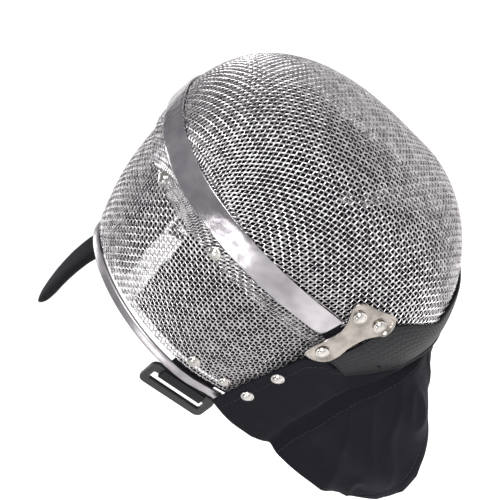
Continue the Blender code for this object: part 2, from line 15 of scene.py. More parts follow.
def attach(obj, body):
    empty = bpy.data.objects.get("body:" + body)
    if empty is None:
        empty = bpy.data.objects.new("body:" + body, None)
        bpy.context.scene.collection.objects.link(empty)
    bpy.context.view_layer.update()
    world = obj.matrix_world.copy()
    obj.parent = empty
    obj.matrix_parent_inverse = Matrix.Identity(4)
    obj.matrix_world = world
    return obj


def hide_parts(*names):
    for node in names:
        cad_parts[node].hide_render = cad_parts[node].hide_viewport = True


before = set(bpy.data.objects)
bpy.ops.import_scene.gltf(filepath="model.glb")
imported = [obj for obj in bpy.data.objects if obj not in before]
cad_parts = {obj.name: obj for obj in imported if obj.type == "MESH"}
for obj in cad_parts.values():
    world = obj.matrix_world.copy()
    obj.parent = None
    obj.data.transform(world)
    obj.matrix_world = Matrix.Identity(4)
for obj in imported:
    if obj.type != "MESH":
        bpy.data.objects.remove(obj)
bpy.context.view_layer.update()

MM = 0.001
SIDES = (("right", -1), ("left", 1))

# %% [markdown]
# ## The view
# The camera stands at the wearer's front right, a little above, and is rolled, so that the mask
# seems to lie on its back edge. The roll turns the camera's own right and up axes.

# %% Camera
CAMERA_AIM = Vector((-37.7, 33.7, 48.4)) * MM
CAMERA_DISTANCE = 447.9 * MM
CAMERA_AZIMUTH = math.radians(-61.58)
CAMERA_ELEVATION = math.radians(27.45)
CAMERA_ROLL = math.radians(47.3)
CAMERA_LENS = 47.87


def make_camera():
    back = Vector((math.sin(CAMERA_AZIMUTH) * math.cos(CAMERA_ELEVATION),
                   -math.cos(CAMERA_AZIMUTH) * math.cos(CAMERA_ELEVATION),
                   math.sin(CAMERA_ELEVATION)))
    right = Vector((0, 0, 1)).cross(back).normalized()
    up = back.cross(right)
    c, s = math.cos(CAMERA_ROLL), math.sin(CAMERA_ROLL)
    turned = Matrix((right * c - up * s, right * s + up * c, back)).transposed().to_4x4()
    camera = bpy.data.objects.new("camera", bpy.data.cameras.new("camera"))
    camera.data.lens = CAMERA_LENS
    camera.data.clip_start = 0.02
    camera.matrix_world = Matrix.Translation(CAMERA_AIM + back * CAMERA_DISTANCE) @ turned
    bpy.context.scene.collection.objects.link(camera)
    bpy.context.scene.camera = camera
    return camera


camera = make_camera()
print("camera at", [round(x / MM) for x in camera.location], "mm")

# %% [markdown]
# ## Materials
# Each finish starts from the real one. Two helpers do the wiring: one turns an sRGB hex value to
# the linear colour that the renderer wants, and one adds a node with its settings and links.


# %% Helpers for materials
def linear(hex_colour):
    values = [int(hex_colour[i : i + 2], 16) / 255 for i in (1, 3, 5)]
    return tuple(v / 12.92 if v <= 0.04045 else ((v + 0.055) / 1.055) ** 2.4 for v in values) + (1.0,)


def node(tree, kind, inputs=None, **settings):
    made = tree.nodes.new(kind)
    for name, value in settings.items():
        setattr(made, name, value)
    for socket, value in (inputs or {}).items():
        if isinstance(value, bpy.types.NodeSocket):
            tree.links.new(value, made.inputs[socket])
        else:
            made.inputs[socket].default_value = value
    return made


def paint(ramp, dark, light, low=0.0, high=1.0):
    """Sets a colour ramp's two ends, and where they lie."""
    for element, colour, place in zip(ramp.color_ramp.elements, (dark, light), (low, high)):
        element.position, element.color = place, linear(colour)
    return ramp.outputs["Color"]


def feed(tree, shader, colour, rough=None, bump=None):
    """Links what was made to the shader, and leaves out what isn't there."""
    for socket, source in (("Base Color", colour), ("Roughness", rough and rough.outputs["Result"]),
                           ("Normal", bump and bump.outputs["Normal"])):
        if source:
            tree.links.new(source, shader.inputs[socket])


def new_material(name, **sockets):
    """A Principled material with these sockets set, with its tree and shader."""
    mat = bpy.data.materials.new(name)
    mat.use_nodes = True
    shader = mat.node_tree.nodes["Principled BSDF"]
    for socket, value in sockets.items():
        shader.inputs[socket.replace("_", " ")].default_value = value
    return mat, mat.node_tree, shader


# %% [markdown]
# Steel takes its look from what it mirrors. Drawn wire is smooth along its length and a little
# uneven in brightness from wire to wire. The forehead strip is polished, yet a strip this thin is
# never quite flat, so slow waves break its mirror image up. Plates are tumbled to a satin.


# %% Steel
def make_wire_steel():
    """Drawn stainless wire, bright. Slow patches of roughness vary the glint along the mesh."""
    mat, tree, shader = new_material("drawn stainless wire", Metallic=1.0)
    place = node(tree, "ShaderNodeTexCoord")
    patches = node(tree, "ShaderNodeTexNoise", {"Vector": place.outputs["Object"], "Scale": 180.0, "Detail": 2.0})
    colour = paint(node(tree, "ShaderNodeValToRGB", {"Fac": patches.outputs["Fac"]}), "#949193", "#d0cdce", 0.3, 0.7)
    rough = node(tree, "ShaderNodeMapRange", {"Value": patches.outputs["Fac"], "To Min": 0.18, "To Max": 0.36})
    feed(tree, shader, colour, rough)
    return mat


def make_strip_steel():
    """Polished strip steel with buffing lines along it and slow waves of about 12 mm."""
    mat, tree, shader = new_material("polished strip steel", Metallic=1.0)
    place = node(tree, "ShaderNodeTexCoord")
    lines_at = node(tree, "ShaderNodeMapping", {"Vector": place.outputs["UV"], "Scale": (60.0, 4000.0, 1.0)})
    lines = node(tree, "ShaderNodeTexNoise", {"Vector": lines_at.outputs["Vector"], "Scale": 1.0, "Detail": 4.0})
    waves = node(tree, "ShaderNodeTexNoise", {"Vector": place.outputs["Object"], "Scale": 85.0, "Detail": 1.5})
    marks = node(tree, "ShaderNodeTexNoise", {"Vector": place.outputs["Object"], "Scale": 400.0, "Detail": 3.0})
    colour = paint(node(tree, "ShaderNodeValToRGB", {"Fac": waves.outputs["Fac"]}), "#9e9a9e", "#b8b4b7", 0.3, 0.7)
    rough = node(tree, "ShaderNodeMapRange", {"Value": marks.outputs["Fac"], "To Min": 0.12, "To Max": 0.30})
    waved = node(tree, "ShaderNodeBump", {"Height": waves.outputs["Fac"], "Strength": 0.5, "Distance": 0.0015})
    lined = node(tree, "ShaderNodeBump", {"Height": lines.outputs["Fac"], "Strength": 0.10, "Distance": 0.0002,
                                          "Normal": waved.outputs["Normal"]})
    feed(tree, shader, colour, rough, lined)
    return mat


def make_plate_steel(name, dark, light, smooth, rough_end):
    """Nickelled pressed steel, tumbled: a fine even satin with faint pits of about 2 mm."""
    mat, tree, shader = new_material(name, Metallic=1.0)
    place = node(tree, "ShaderNodeTexCoord")
    pits = node(tree, "ShaderNodeTexNoise", {"Vector": place.outputs["Object"], "Scale": 500.0, "Detail": 4.0})
    clouds = node(tree, "ShaderNodeTexNoise", {"Vector": place.outputs["Object"], "Scale": 120.0, "Detail": 2.0})
    colour = paint(node(tree, "ShaderNodeValToRGB", {"Fac": clouds.outputs["Fac"]}), dark, light, 0.3, 0.7)
    rough = node(tree, "ShaderNodeMapRange", {"Value": pits.outputs["Fac"], "To Min": smooth, "To Max": rough_end})
    bump = node(tree, "ShaderNodeBump", {"Height": pits.outputs["Fac"], "Strength": 0.25, "Distance": 0.0003})
    feed(tree, shader, colour, rough, bump)
    return mat


WIRE_STEEL = make_wire_steel()
STRIP_STEEL = make_strip_steel()
PLATE_STEEL = make_plate_steel("tumbled nickel plate", "#88827c", "#aaa39c", 0.22, 0.36)
RIVET_STEEL = make_plate_steel("bright nickel rivet", "#a8a4a0", "#cac6c2", 0.12, 0.24)
RIM_STEEL = make_plate_steel("brushed steel rim", "#918d90", "#aeaaac", 0.3, 0.44)
print("metals:", [m.name for m in (WIRE_STEEL, STRIP_STEEL, PLATE_STEEL, RIVET_STEEL, RIM_STEEL)])

# %% [markdown]
# Cloth is rough, and its threads catch light at a grazing angle, which the sheen gives. The weave
# follows each piece's own UV map, which is laid out in millimetres. Real twill has threads of
# 0.4 mm, too fine to show here, so it is drawn with ribs of 1.3 mm.


# %% Cloth, edging, plastic and webbing
WAVE_REPEAT = 0.314  # a wave texture of scale 1 repeats every 0.314 units
WIRE_PRINT = WAVE_REPEAT / 2.93


def make_cloth(name, dark, light, rib, turn, depth, rough=0.9, sheen=0.06):
    """Woven black cotton. Ribs run at `turn` across the UV map, whose unit is a millimetre."""
    mat, tree, shader = new_material(name, Roughness=rough, Specular_IOR_Level=0.18, Sheen_Weight=sheen,
                                     Sheen_Roughness=0.4)
    shader.inputs["Sheen Tint"].default_value = linear("#8d8ba0")
    place = node(tree, "ShaderNodeTexCoord")
    turned = node(tree, "ShaderNodeMapping", {"Vector": place.outputs["UV"], "Rotation": (0, 0, turn)})
    rib_scale = WAVE_REPEAT / rib
    ribs = node(tree, "ShaderNodeTexWave", {"Vector": turned.outputs["Vector"], "Scale": rib_scale,
                                            "Distortion": 1.2, "Detail": 2.0, "Detail Scale": 2.0})
    cross = node(tree, "ShaderNodeTexWave", {"Vector": turned.outputs["Vector"], "Scale": rib_scale * 1.3,
                                             "Distortion": 0.8}, bands_direction="Y")
    weave = node(tree, "ShaderNodeMath", {0: ribs.outputs["Fac"], 1: cross.outputs["Fac"]}, operation="MULTIPLY")
    clouds = node(tree, "ShaderNodeTexNoise", {"Vector": place.outputs["Object"], "Scale": 28.0, "Detail": 5.0})
    mixed = node(tree, "ShaderNodeMath", {0: clouds.outputs["Fac"], 1: weave.outputs["Value"], 2: 0.25},
                 operation="MULTIPLY_ADD")
    colour = paint(node(tree, "ShaderNodeValToRGB", {"Fac": mixed.outputs["Value"]}), dark, light, 0.3, 0.75)
    bump = node(tree, "ShaderNodeBump", {"Height": weave.outputs["Value"], "Strength": depth, "Distance": 0.0004})
    feed(tree, shader, colour, bump=bump)
    return mat


def make_edging():
    """Coated cloth drawn tight over the wires, which print through as ribs 2.93 mm apart, as bumps. The rib crests
    are also painted a little lighter, a painted highlight.
    """
    mat, tree, shader = new_material("coated black edging", Roughness=0.5, Specular_IOR_Level=0.22)
    place = node(tree, "ShaderNodeTexCoord")
    wires = node(tree, "ShaderNodeTexWave", {"Vector": place.outputs["UV"], "Scale": WIRE_PRINT})
    rows = node(tree, "ShaderNodeTexWave", {"Vector": place.outputs["UV"], "Scale": WIRE_PRINT},
                bands_direction="Y")
    grid = node(tree, "ShaderNodeMath", {0: wires.outputs["Fac"], 1: rows.outputs["Fac"]}, operation="MAXIMUM")
    grain = node(tree, "ShaderNodeTexNoise", {"Vector": place.outputs["Object"], "Scale": 900.0, "Detail": 3.0})
    # Painted highlight: the crests of the printed ribs are coloured lighter than the hollows between them.
    colour = paint(node(tree, "ShaderNodeValToRGB", {"Fac": grid.outputs["Value"]}), "#040406", "#0c0b10")
    pressed = node(tree, "ShaderNodeBump", {"Height": grid.outputs["Value"], "Strength": 0.6, "Distance": 0.0004})
    bump = node(tree, "ShaderNodeBump", {"Height": grain.outputs["Fac"], "Strength": 0.15, "Distance": 0.0002,
                                         "Normal": pressed.outputs["Normal"]})
    feed(tree, shader, colour, bump=bump)
    return mat


def make_acetal():
    """Injection-moulded black acetal: a soft gloss over a fine spark-eroded grain."""
    mat, tree, shader = new_material("moulded black acetal", IOR=1.48)
    place = node(tree, "ShaderNodeTexCoord")
    grain = node(tree, "ShaderNodeTexNoise", {"Vector": place.outputs["Object"], "Scale": 1500.0, "Detail": 2.0})
    clouds = node(tree, "ShaderNodeTexNoise", {"Vector": place.outputs["Object"], "Scale": 90.0, "Detail": 3.0})
    colour = paint(node(tree, "ShaderNodeValToRGB", {"Fac": clouds.outputs["Fac"]}), "#08080a", "#151518")
    rough = node(tree, "ShaderNodeMapRange", {"Value": clouds.outputs["Fac"], "To Min": 0.32, "To Max": 0.5})
    bump = node(tree, "ShaderNodeBump", {"Height": grain.outputs["Fac"], "Strength": 0.2, "Distance": 0.0002})
    feed(tree, shader, colour, rough, bump)
    return mat


BIB_CLOTH = make_cloth("black cotton twill", "#030208", "#0b0915", 1.3, math.radians(38), 0.25)
PAD_CLOTH = make_cloth("black cotton jersey", "#060608", "#0e0e12", 1.6, 0.0, 0.3)
WEBBING = make_cloth("black nylon webbing", "#08080a", "#1a1a1e", 2.4, 0.0, 0.9, rough=0.6)
THREAD = make_cloth("black polyester thread", "#1d1d23", "#3a3a42", 1.0, 0.0, 0.1, rough=0.55)
EDGING = make_edging()
ACETAL = make_acetal()
print("soft and moulded:", BIB_CLOTH.name, PAD_CLOTH.name, WEBBING.name, THREAD.name, EDGING.name, ACETAL.name)

# %% [markdown]
# ## The shell's shape
# The wires, strips and cloth all follow one shell. Ahead of the forehead band it is a dome: level
# cuts through it are superellipses. Behind the band it is an arch that narrows to the rear rim.
# The sizes are the design's, in millimetres, because numbers near 1 suit the solver below.

# %% Sizes of the shell
HALF_WIDTH, SHOULDER_Z, ARCH_RISE, FACE_DEPTH = 100.0, 15.0, 130.0, 90.0
ARCH_POWER, FACE_POWER, HOOP_POWER = 2.36, 2.63, 2.2
BAND_LEAN, JAW_DROP, CHIN_DROP = 0.09, 115.0, 77.0
RIM_Y, RIM_LEAN, RIM_HALF_WIDTH, RIM_TOP, RIM_POWER = 110.0, 0.15, 88.0, 112.0, 1.7
CROWN_BULGE, MESH_FOOT_Z = 6.0, -8.0
LEG_TURN = math.asin(0.16)
LAP_BACK, LAP_FRONT, LAP_DROP = 0.20, -0.11, 2.5
PITCH, WIRE_RADIUS = 2.93, 0.5


def smoothstep(value):
    value = np.clip(value, 0.0, 1.0)
    return value * value * (3 - 2 * value)


def bow(u, power):
    """Height of a superellipse's quarter at u, from 1 at 0 to 0 at 1."""
    return np.maximum(0.0, 1.0 - np.clip(u, 0.0, 1.0) ** power) ** (1.0 / power)


def half_width(z):
    below = np.sqrt(np.maximum(0.0, 1.0 - (np.maximum(0.0, SHOULDER_Z - z) / JAW_DROP) ** 3))
    return HALF_WIDTH * np.where(z >= SHOULDER_Z, bow((z - SHOULDER_Z) / ARCH_RISE, ARCH_POWER), below)


def depth(z):
    below = np.sqrt(np.maximum(0.0, 1.0 - (np.minimum(0.0, z) / CHIN_DROP) ** 2))
    return FACE_DEPTH * np.where(z >= SHOULDER_Z, bow((z - SHOULDER_Z) / ARCH_RISE, FACE_POWER), below)


def hoop(z, turn):
    """Points of the face dome: turn 0 is the wearer's right, half a turn of pi the left."""
    c, s = np.cos(turn), np.abs(np.sin(turn))
    x = -half_width(z) * np.sign(c) * np.abs(c) ** (2 / HOOP_POWER)
    return np.stack(np.broadcast_arrays(x, BAND_LEAN * z - depth(z) * s ** (2 / HOOP_POWER), z), -1)


def arch_size(back):
    """Half width, rise and power of the arch at a share back from the band to the rim."""
    return (HALF_WIDTH + (RIM_HALF_WIDTH - HALF_WIDTH) * back,
            ARCH_RISE + (RIM_TOP - SHOULDER_Z - ARCH_RISE) * back,
            ARCH_POWER + (RIM_POWER - ARCH_POWER) * back)


def crown_bulge(points, back, s):
    """The crown stands a little proud between the band and the rim."""
    rise = CROWN_BULGE * 4 * back * (1 - back) * smoothstep((s - 0.5) / 0.5) * (back > 0)
    out = points * (0.4, 0, 1) - (0, 0, SHOULDER_Z)
    return points + out / np.linalg.norm(out, axis=-1, keepdims=True) * rise[..., None]


def arch(back, turn, foot=MESH_FOOT_Z):
    """Points of the back mesh: back is 0 at the band and 1 at the rim, turn as on a hoop."""
    back, turn = np.broadcast_arrays(np.asarray(back, float), turn)
    width, rise, power = arch_size(back)
    s, c = np.sin(turn), np.cos(turn)
    angle = (np.arcsin(np.clip(s, 0, 1)) - LEG_TURN) / (math.pi / 2 - LEG_TURN) * math.pi / 2
    angle = np.clip(angle, 0, math.pi / 2)
    x = -np.sign(c) * width * np.cos(angle) ** (2 / power)
    z = np.where(s < math.sin(LEG_TURN), foot + (SHOULDER_Z - foot) * s / math.sin(LEG_TURN),
                 SHOULDER_Z + rise * np.sin(angle) ** (2 / power))
    y = BAND_LEAN * z * (1 - back) + (RIM_Y + RIM_LEAN * z) * back
    return crown_bulge(np.stack([x, y, z], -1), back, s)


def front_arch(front, turn, foot=MESH_FOOT_Z):
    """The dome cut by a plane a share `front` of its depth ahead of the band."""
    front, turn = np.broadcast_arrays(np.asarray(front, float), turn)
    top = SHOULDER_Z + ARCH_RISE * bow(front, FACE_POWER)
    z = foot + (top - foot) * np.abs(np.sin(turn)) ** 0.8
    x = half_width(z) * bow(front * FACE_DEPTH / np.maximum(1e-6, depth(z)), HOOP_POWER)
    return np.stack([-np.sign(np.cos(turn)) * x, BAND_LEAN * z - front * FACE_DEPTH, z], -1)


def skin(along, turn, foot=MESH_FOOT_Z):
    """Points of the whole shell: along is -1 at the face, 0 at the band, 1 at the rim."""
    along, turn = np.broadcast_arrays(np.asarray(along, float), turn)
    return np.where((along < 0)[..., None], front_arch(np.maximum(0, -along), turn, foot),
                    arch(np.maximum(0, along), turn, foot))


def outward(points, du, dv, centre=(0.0, 20.0, 30.0)):
    """Unit normals that point away from a centre, by default the middle of the head."""
    normal = np.cross(du, dv)
    normal /= np.maximum(1e-9, np.linalg.norm(normal, axis=-1, keepdims=True))
    facing = np.sum(normal * (points - centre), -1, keepdims=True)
    return normal * np.where(facing < 0, -1, 1)


def raised_skin(along, turn, rise, foot=MESH_FOOT_Z):
    step = 0.01
    at = np.clip(turn, 2 * step, math.pi - 2 * step)
    du = skin(np.minimum(1, np.asarray(along) + step), at, foot) - skin(np.asarray(along) - step, at, foot)
    dv = skin(along, at + step, foot) - skin(along, at - step, foot)
    return skin(along, turn, foot) + outward(skin(along, at, foot), du, dv) * np.asarray(rise)[..., None]


def raised_hoop(z, turn, rise):
    at = np.clip(turn, 0.03, math.pi - 0.03)
    dz = hoop(z + 0.5, at) - hoop(z - 0.5, at)
    dt = hoop(z, at + 0.02) - hoop(z, at - 0.02)
    return hoop(z, turn) + outward(hoop(z, at), dz, dt) * np.asarray(rise)[..., None]


MIDDLE = np.array(math.pi / 2)
print("crown at", arch(0.0, MIDDLE).round(1), "face front at", hoop(25.0, MIDDLE).round(1))

# %% [markdown]
# ## A net of wires
# Woven wire keeps its wires' length when it is pressed over a form, and only the square cells
# shear. That is a Chebyshev net: the cell's sides stay one pitch long all over. It is solved from
# the two straight wires through the middle of the face: each new knot lies one pitch from two
# knots that are known. A few Newton steps in the tangent plane find it, a whole diagonal at once.

# %% Solve the net of the face mesh
NET_START_Z = 25.0
NET_UP, NET_DOWN, NET_ACROSS = 74, 34, 66  # pitches from the start to each end
NET_CENTRE = np.array([0.0, 20.0, 20.0])


def inside_shell(points):
    """Which points lie inside the shell. The lap behind the band is taken without its bulge."""
    x, z = np.abs(points[..., 0]), points[..., 2]
    ahead = points[..., 1] - BAND_LEAN * z
    width, deep = np.maximum(half_width(z), 1e-3), np.maximum(depth(z), 1e-3)
    front = (x / width) ** HOOP_POWER + (np.maximum(0, -ahead) / deep) ** HOOP_POWER
    wide, rise, power = arch_size(np.clip(ahead / (RIM_Y + (RIM_LEAN - BAND_LEAN) * z), 0, 1))
    above = (x / wide) ** power + (np.maximum(0, z - SHOULDER_Z) / rise) ** power
    below = x / (wide * np.minimum(width / HALF_WIDTH, 1))
    return np.where(ahead < 0, front, np.where(z >= SHOULDER_Z, above, below)) < 1


def onto_shell(points, reach=40.0, steps=16):
    """Moves points along the ray from the net's centre until they lie on the shell."""
    ray = points - NET_CENTRE
    size = np.linalg.norm(ray, axis=-1)
    ray /= size[..., None]
    low, high = np.maximum(0, size - reach), size + reach
    for _ in range(steps):
        middle = (low + high) / 2
        inner = inside_shell(NET_CENTRE + ray * middle[..., None])
        low, high = np.where(inner, middle, low), np.where(inner, high, middle)
    return NET_CENTRE + ray * ((low + high) / 2)[..., None]


def straight_wire(start, step, count, fixed):
    """Knots along a straight wire, one pitch apart, that keep the coordinate `fixed`."""
    knots = [start]
    for _ in range(count):
        point = knots[-1] + step
        for _ in range(8):
            point = onto_shell(point[None])[0]
            point[fixed] = start[fixed]
            point = knots[-1] + (point - knots[-1]) * (PITCH / np.linalg.norm(point - knots[-1]))
        step = point - knots[-1]
        knots.append(point)
    return np.array(knots)


def fill_net(column, row):
    """All knots between a wire up the middle and a wire round the side."""
    up, across = len(column) - 1, len(row) - 1
    net = np.full((up + 1, across + 1, 3), np.nan)
    net[:, 0], net[0] = column, row
    for diagonal in range(2, up + across + 1):
        i = np.arange(max(1, diagonal - up), min(across, diagonal - 1) + 1)
        j = diagonal - i
        a, b, corner = net[j - 1, i], net[j, i - 1], net[j - 1, i - 1]
        point = onto_shell(a + b - corner, 6.0, 15)
        for _ in range(4):
            to_a, to_b = point - a, point - b
            normal = np.cross(to_a, to_b)
            normal /= np.maximum(1e-6, np.linalg.norm(normal, axis=-1, keepdims=True))
            lhs = np.stack([to_a, to_b, normal], -2) + np.eye(3) * 1e-6
            rhs = np.stack([(PITCH ** 2 - np.sum(to_a ** 2, -1)) / 2,
                            (PITCH ** 2 - np.sum(to_b ** 2, -1)) / 2, np.zeros(len(i))], -1)
            move = np.linalg.solve(lhs, rhs[..., None])[..., 0]
            size = np.maximum(1e-9, np.linalg.norm(move, axis=-1, keepdims=True))
            point = onto_shell(point + move * np.minimum(1, 1.0 / size), 1.5, 14)
        net[j, i] = point
    return net


def solve_face_net():
    start = onto_shell(np.array([[0.0, -90.0, NET_START_Z]]))[0]
    side = straight_wire(start, np.array([-PITCH, 0, 0]), NET_ACROSS, 2)
    upper = fill_net(straight_wire(start, np.array([0, 0, PITCH]), NET_UP, 0), side)
    lower = fill_net(straight_wire(start, np.array([0, 0, -PITCH]), NET_DOWN, 0), side)
    half = np.concatenate([lower[:0:-1], upper])
    return np.concatenate([half[:, :0:-1] * (-1, 1, 1), half], 1)


def inside_face_mesh(net):
    """Which knots belong to the face mesh: ahead of its lap's end and above its foot."""
    z = net[..., 2]
    ahead = net[..., 1] - BAND_LEAN * z
    back = ahead / (RIM_Y + (RIM_LEAN - BAND_LEAN) * z)
    sine = np.clip(-ahead / np.maximum(1e-3, depth(z)), 0, 1) ** (HOOP_POWER / 2)
    foot = np.where(ahead > 0, -53 + 21 * np.clip(back / LAP_BACK, 0, 1), -53 - 17 * sine ** 0.8)
    return (back < LAP_BACK) & (z > foot) & np.isfinite(z)


face_net = solve_face_net()
net_back = np.clip((face_net[..., 1] - BAND_LEAN * face_net[..., 2])
                   / (RIM_Y + (RIM_LEAN - BAND_LEAN) * face_net[..., 2]), 0, 1)
net_rise, net_power = arch_size(net_back)[1:]
net_angle = np.arcsin(np.clip((face_net[..., 2] - SHOULDER_Z) / net_rise, 0, 1) ** (net_power / 2))
net_sine = np.sin(LEG_TURN + net_angle * (1 - LEG_TURN / (math.pi / 2)))
face_net = crown_bulge(face_net, net_back, net_sine)
face_kept = inside_face_mesh(face_net)
sides = np.linalg.norm(np.diff(face_net, axis=1), axis=-1)[face_kept[:, 1:]]
print("face net:", face_kept.sum(), "knots; cell sides", sides.min().round(2), "to", sides.max().round(2), "mm")

# %% [markdown]
# ## From net to wire
# At each knot one wire passes over and the other under, in turn. So a wire is a line through its
# knots, lifted and lowered by its own radius, with a level point between two knots. It becomes a
# round tube by giving a curve a bevel. The two directions are separate pieces, because a woven
# cloth has two sets of wires, and each half keeps within a sensible number of faces.


# %% Weave
def weave_lines(net, kept, normal, over):
    """The wires that run along the net's second axis. `over` is the lift at an even knot."""
    lines = []
    for j in range(net.shape[0]):
        held = np.flatnonzero(kept[j])
        if len(held) < 3:
            continue
        for run in np.split(held, np.flatnonzero(np.diff(held) > 1) + 1):
            if len(run) < 3:
                continue
            sign = np.where((run + j) % 2 == 0, over, -over)[:, None]
            line = np.empty((2 * len(run) - 1, 3))
            line[0::2] = net[j, run] + normal[j, run] * sign
            line[1::2] = (net[j, run[:-1]] + net[j, run[1:]]) / 2
            lines.append(line * MM)
    return lines


def net_normals(net):
    padded = np.pad(net, ((1, 1), (1, 1), (0, 0)), mode="edge")
    return outward(net, padded[1:-1, 2:] - padded[1:-1, :-2], padded[2:, 1:-1] - padded[:-2, 1:-1])


def link(obj, *materials):
    bpy.context.scene.collection.objects.link(obj)
    for mat in materials:
        obj.data.materials.append(mat)
    return obj


def make_wires(name, lines, mat, radius=WIRE_RADIUS * MM, roundness=1):
    """Round tubes along the lines, as one mesh."""
    curve = bpy.data.curves.new(name + "_lines", "CURVE")
    curve.dimensions, curve.bevel_depth, curve.bevel_resolution = "3D", radius, roundness
    curve.use_fill_caps = True
    for line in lines:
        spline = curve.splines.new("POLY")
        spline.points.add(len(line) - 1)
        spline.points.foreach_set("co", np.c_[line, np.ones(len(line))].ravel())
    guide = link(bpy.data.objects.new(name + "_guide", curve))
    mesh = bpy.data.meshes.new_from_object(guide.evaluated_get(bpy.context.evaluated_depsgraph_get()))
    bpy.data.objects.remove(guide, do_unlink=True)
    mesh.name = name
    mesh.materials.clear()
    mesh.shade_smooth()
    piece = link(bpy.data.objects.new(name, mesh), mat)
    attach(piece, "root")
    print(name, len(lines), "wires,", len(mesh.polygons), "faces")
    return piece


def make_face_mesh():
    normal = net_normals(face_net)
    across = weave_lines(face_net, face_kept, normal, WIRE_RADIUS)
    upright = weave_lines(face_net.transpose(1, 0, 2), face_kept.T, normal.transpose(1, 0, 2), -WIRE_RADIUS)
    half = len(across) // 2
    pieces = [make_wires("face_cross_wires_lower", across[:half], WIRE_STEEL),
              make_wires("face_cross_wires_upper", across[half:], WIRE_STEEL)]
    for word, side in SIDES:
        chosen = [line for line in upright if (line[0][0] > 0) == (side > 0)]
        pieces.append(make_wires(f"face_upright_wires_{word}", chosen, WIRE_STEEL))
    for piece in pieces:
        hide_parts("face_mesh")
    return pieces


face_pieces = make_face_mesh()

# %% [markdown]
# The back mesh is bent over the crown in one direction only, so its wires stay parallel and
# square to the band. The wires across it are spaced by their true length from the crown down.
# Its front edge goes under the face mesh, and further forward over the crown.

# %% Back mesh
BACK_STEPS = (-4, 36)
BACK_PITCH = PITCH / 112.0


def lapped_rise(along):
    """The back mesh runs under the face mesh where they lap, and comes level behind it."""
    return -LAP_DROP * (1 - smoothstep((along - 0.22) / 0.4))


def make_back_mesh():
    along = np.arange(*BACK_STEPS) * BACK_PITCH
    count = 76  # wires on each side of the crown, more than reach the foot
    turns = np.full((len(along), 2 * count + 1), np.nan)
    fine = np.linspace(math.pi / 2, 0.0, 600)
    for m, share in enumerate(along):
        points = skin(share, fine)
        length = np.r_[0, np.cumsum(np.linalg.norm(np.diff(points, axis=0), axis=1))]
        reach = np.arange(count + 1) * PITCH
        turn = np.where(reach <= length[-1], np.interp(reach, length, fine), np.nan)
        turns[m, count:], turns[m, : count + 1] = math.pi - turn, turn[::-1]
    kept = np.isfinite(turns)
    turns = np.where(kept, turns, 0.0)
    front = LAP_FRONT * smoothstep((np.sin(turns) - 0.45) / 0.15)
    share = np.broadcast_to(along[:, None], turns.shape)
    kept &= share >= front - 1e-6
    net = raised_skin(share, turns, lapped_rise(share))
    normal = net_normals(net)
    along_band = weave_lines(net, kept, normal, WIRE_RADIUS)
    to_rim = weave_lines(net.transpose(1, 0, 2), kept.T, normal.transpose(1, 0, 2), -WIRE_RADIUS)
    for name, lines in (("back_wires_along_band", along_band), ("back_wires_to_rim", to_rim)):
        piece = make_wires(name, lines, WIRE_STEEL)
        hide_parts("back_mesh")


make_back_mesh()

# %% [markdown]
# ## Strips and cloth from a grid
# A flat grid is the easiest start for anything made of sheet: each of its vertices is moved to
# its place on the shell, and its UV map keeps the flat layout, in millimetres. The wall comes
# from a Solidify modifier and the eased edges from a Bevel.

# %% Helpers for grids
BAND_WIDTH, BAND_WALL, RIM_WIDTH, RIM_WALL = 17.0, 1.2, 7.0, 3.6
MESH_WALL, GAP, TRIM_WALL, TRIM_RISE = 2.0, 0.3, 1.6, 0.9
INSIDE = Vector((0, 20, 30)) * MM


def draw_grid(columns, rows, place, size):
    """A grid whose vertices are moved to place(u, v), in mm. The UV map spans `size` mm."""
    bm = bmesh.new()
    bmesh.ops.create_grid(bm, x_segments=columns, y_segments=rows, size=0.5)
    share = np.array([v.co[:2] for v in bm.verts]) + 0.5
    uv = bm.loops.layers.uv.new("UVMap")
    for face in bm.faces:
        for loop in face.loops:
            loop[uv].uv = share[loop.vert.index] * size
    for vert, point in zip(bm.verts, place(share[:, 0], share[:, 1]) * MM):
        vert.co = point
    bm.normal_update()
    if sum((f.calc_center_median() - INSIDE).dot(f.normal) * f.calc_area() for f in bm.faces) < 0:
        bmesh.ops.reverse_faces(bm, faces=bm.faces)
    return bm


def to_piece(name, bm, mat, node_names=()):
    """Makes a bmesh an object with smooth shading, which rides on the frame."""
    mesh = bpy.data.meshes.new(name)
    bm.to_mesh(mesh)
    bm.free()
    mesh.shade_smooth()
    piece = link(bpy.data.objects.new(name, mesh), mat)
    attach(piece, "root")
    for node_name in node_names:
        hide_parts(node_name)
    return piece


def add_wall(piece, wall, ease=0.0, segments=3, offset=-1.0):
    """Gives a sheet its wall, towards the inside, and eases the edges."""
    solid = piece.modifiers.new("wall", "SOLIDIFY")
    solid.thickness, solid.offset, solid.use_quality_normals = wall * MM, offset, True
    if ease:
        bevel = piece.modifiers.new("eased edges", "BEVEL")
        bevel.width, bevel.segments, bevel.limit_method = ease * MM, segments, "ANGLE"
        bevel.angle_limit = math.radians(50)
    return piece


# %% [markdown]
# ## The strips
# The forehead band is flat strip, bent on edge over the join of the two meshes. The rim is
# folded strip that takes the ends of the wires round the head opening. Both stand square to the
# shell in the plane of the arch, with their width running from front to back.

# %% Forehead band and rear rim


def strip_place(centre, foot_turn, width, rise, crown=0.0):
    def place(u, v):
        turn = foot_turn + (math.pi - 2 * foot_turn) * u
        point = skin(centre, turn)
        along = skin(centre, np.minimum(math.pi, turn + 0.01)) - skin(centre, np.maximum(0, turn - 0.01))
        out = np.stack([-along[:, 2], 0 * turn, along[:, 0]], -1)
        out /= np.linalg.norm(out, axis=-1, keepdims=True)
        out *= np.where(np.sum(out * (point - (0, 0, 20)) * (1, 0, 1), -1, keepdims=True) < 0, -1, 1)
        across = 2 * v - 1
        point = point + out * (rise - crown * np.abs(across) ** 4)[:, None]
        point[:, 1] += across * width / 2
        return point

    return place


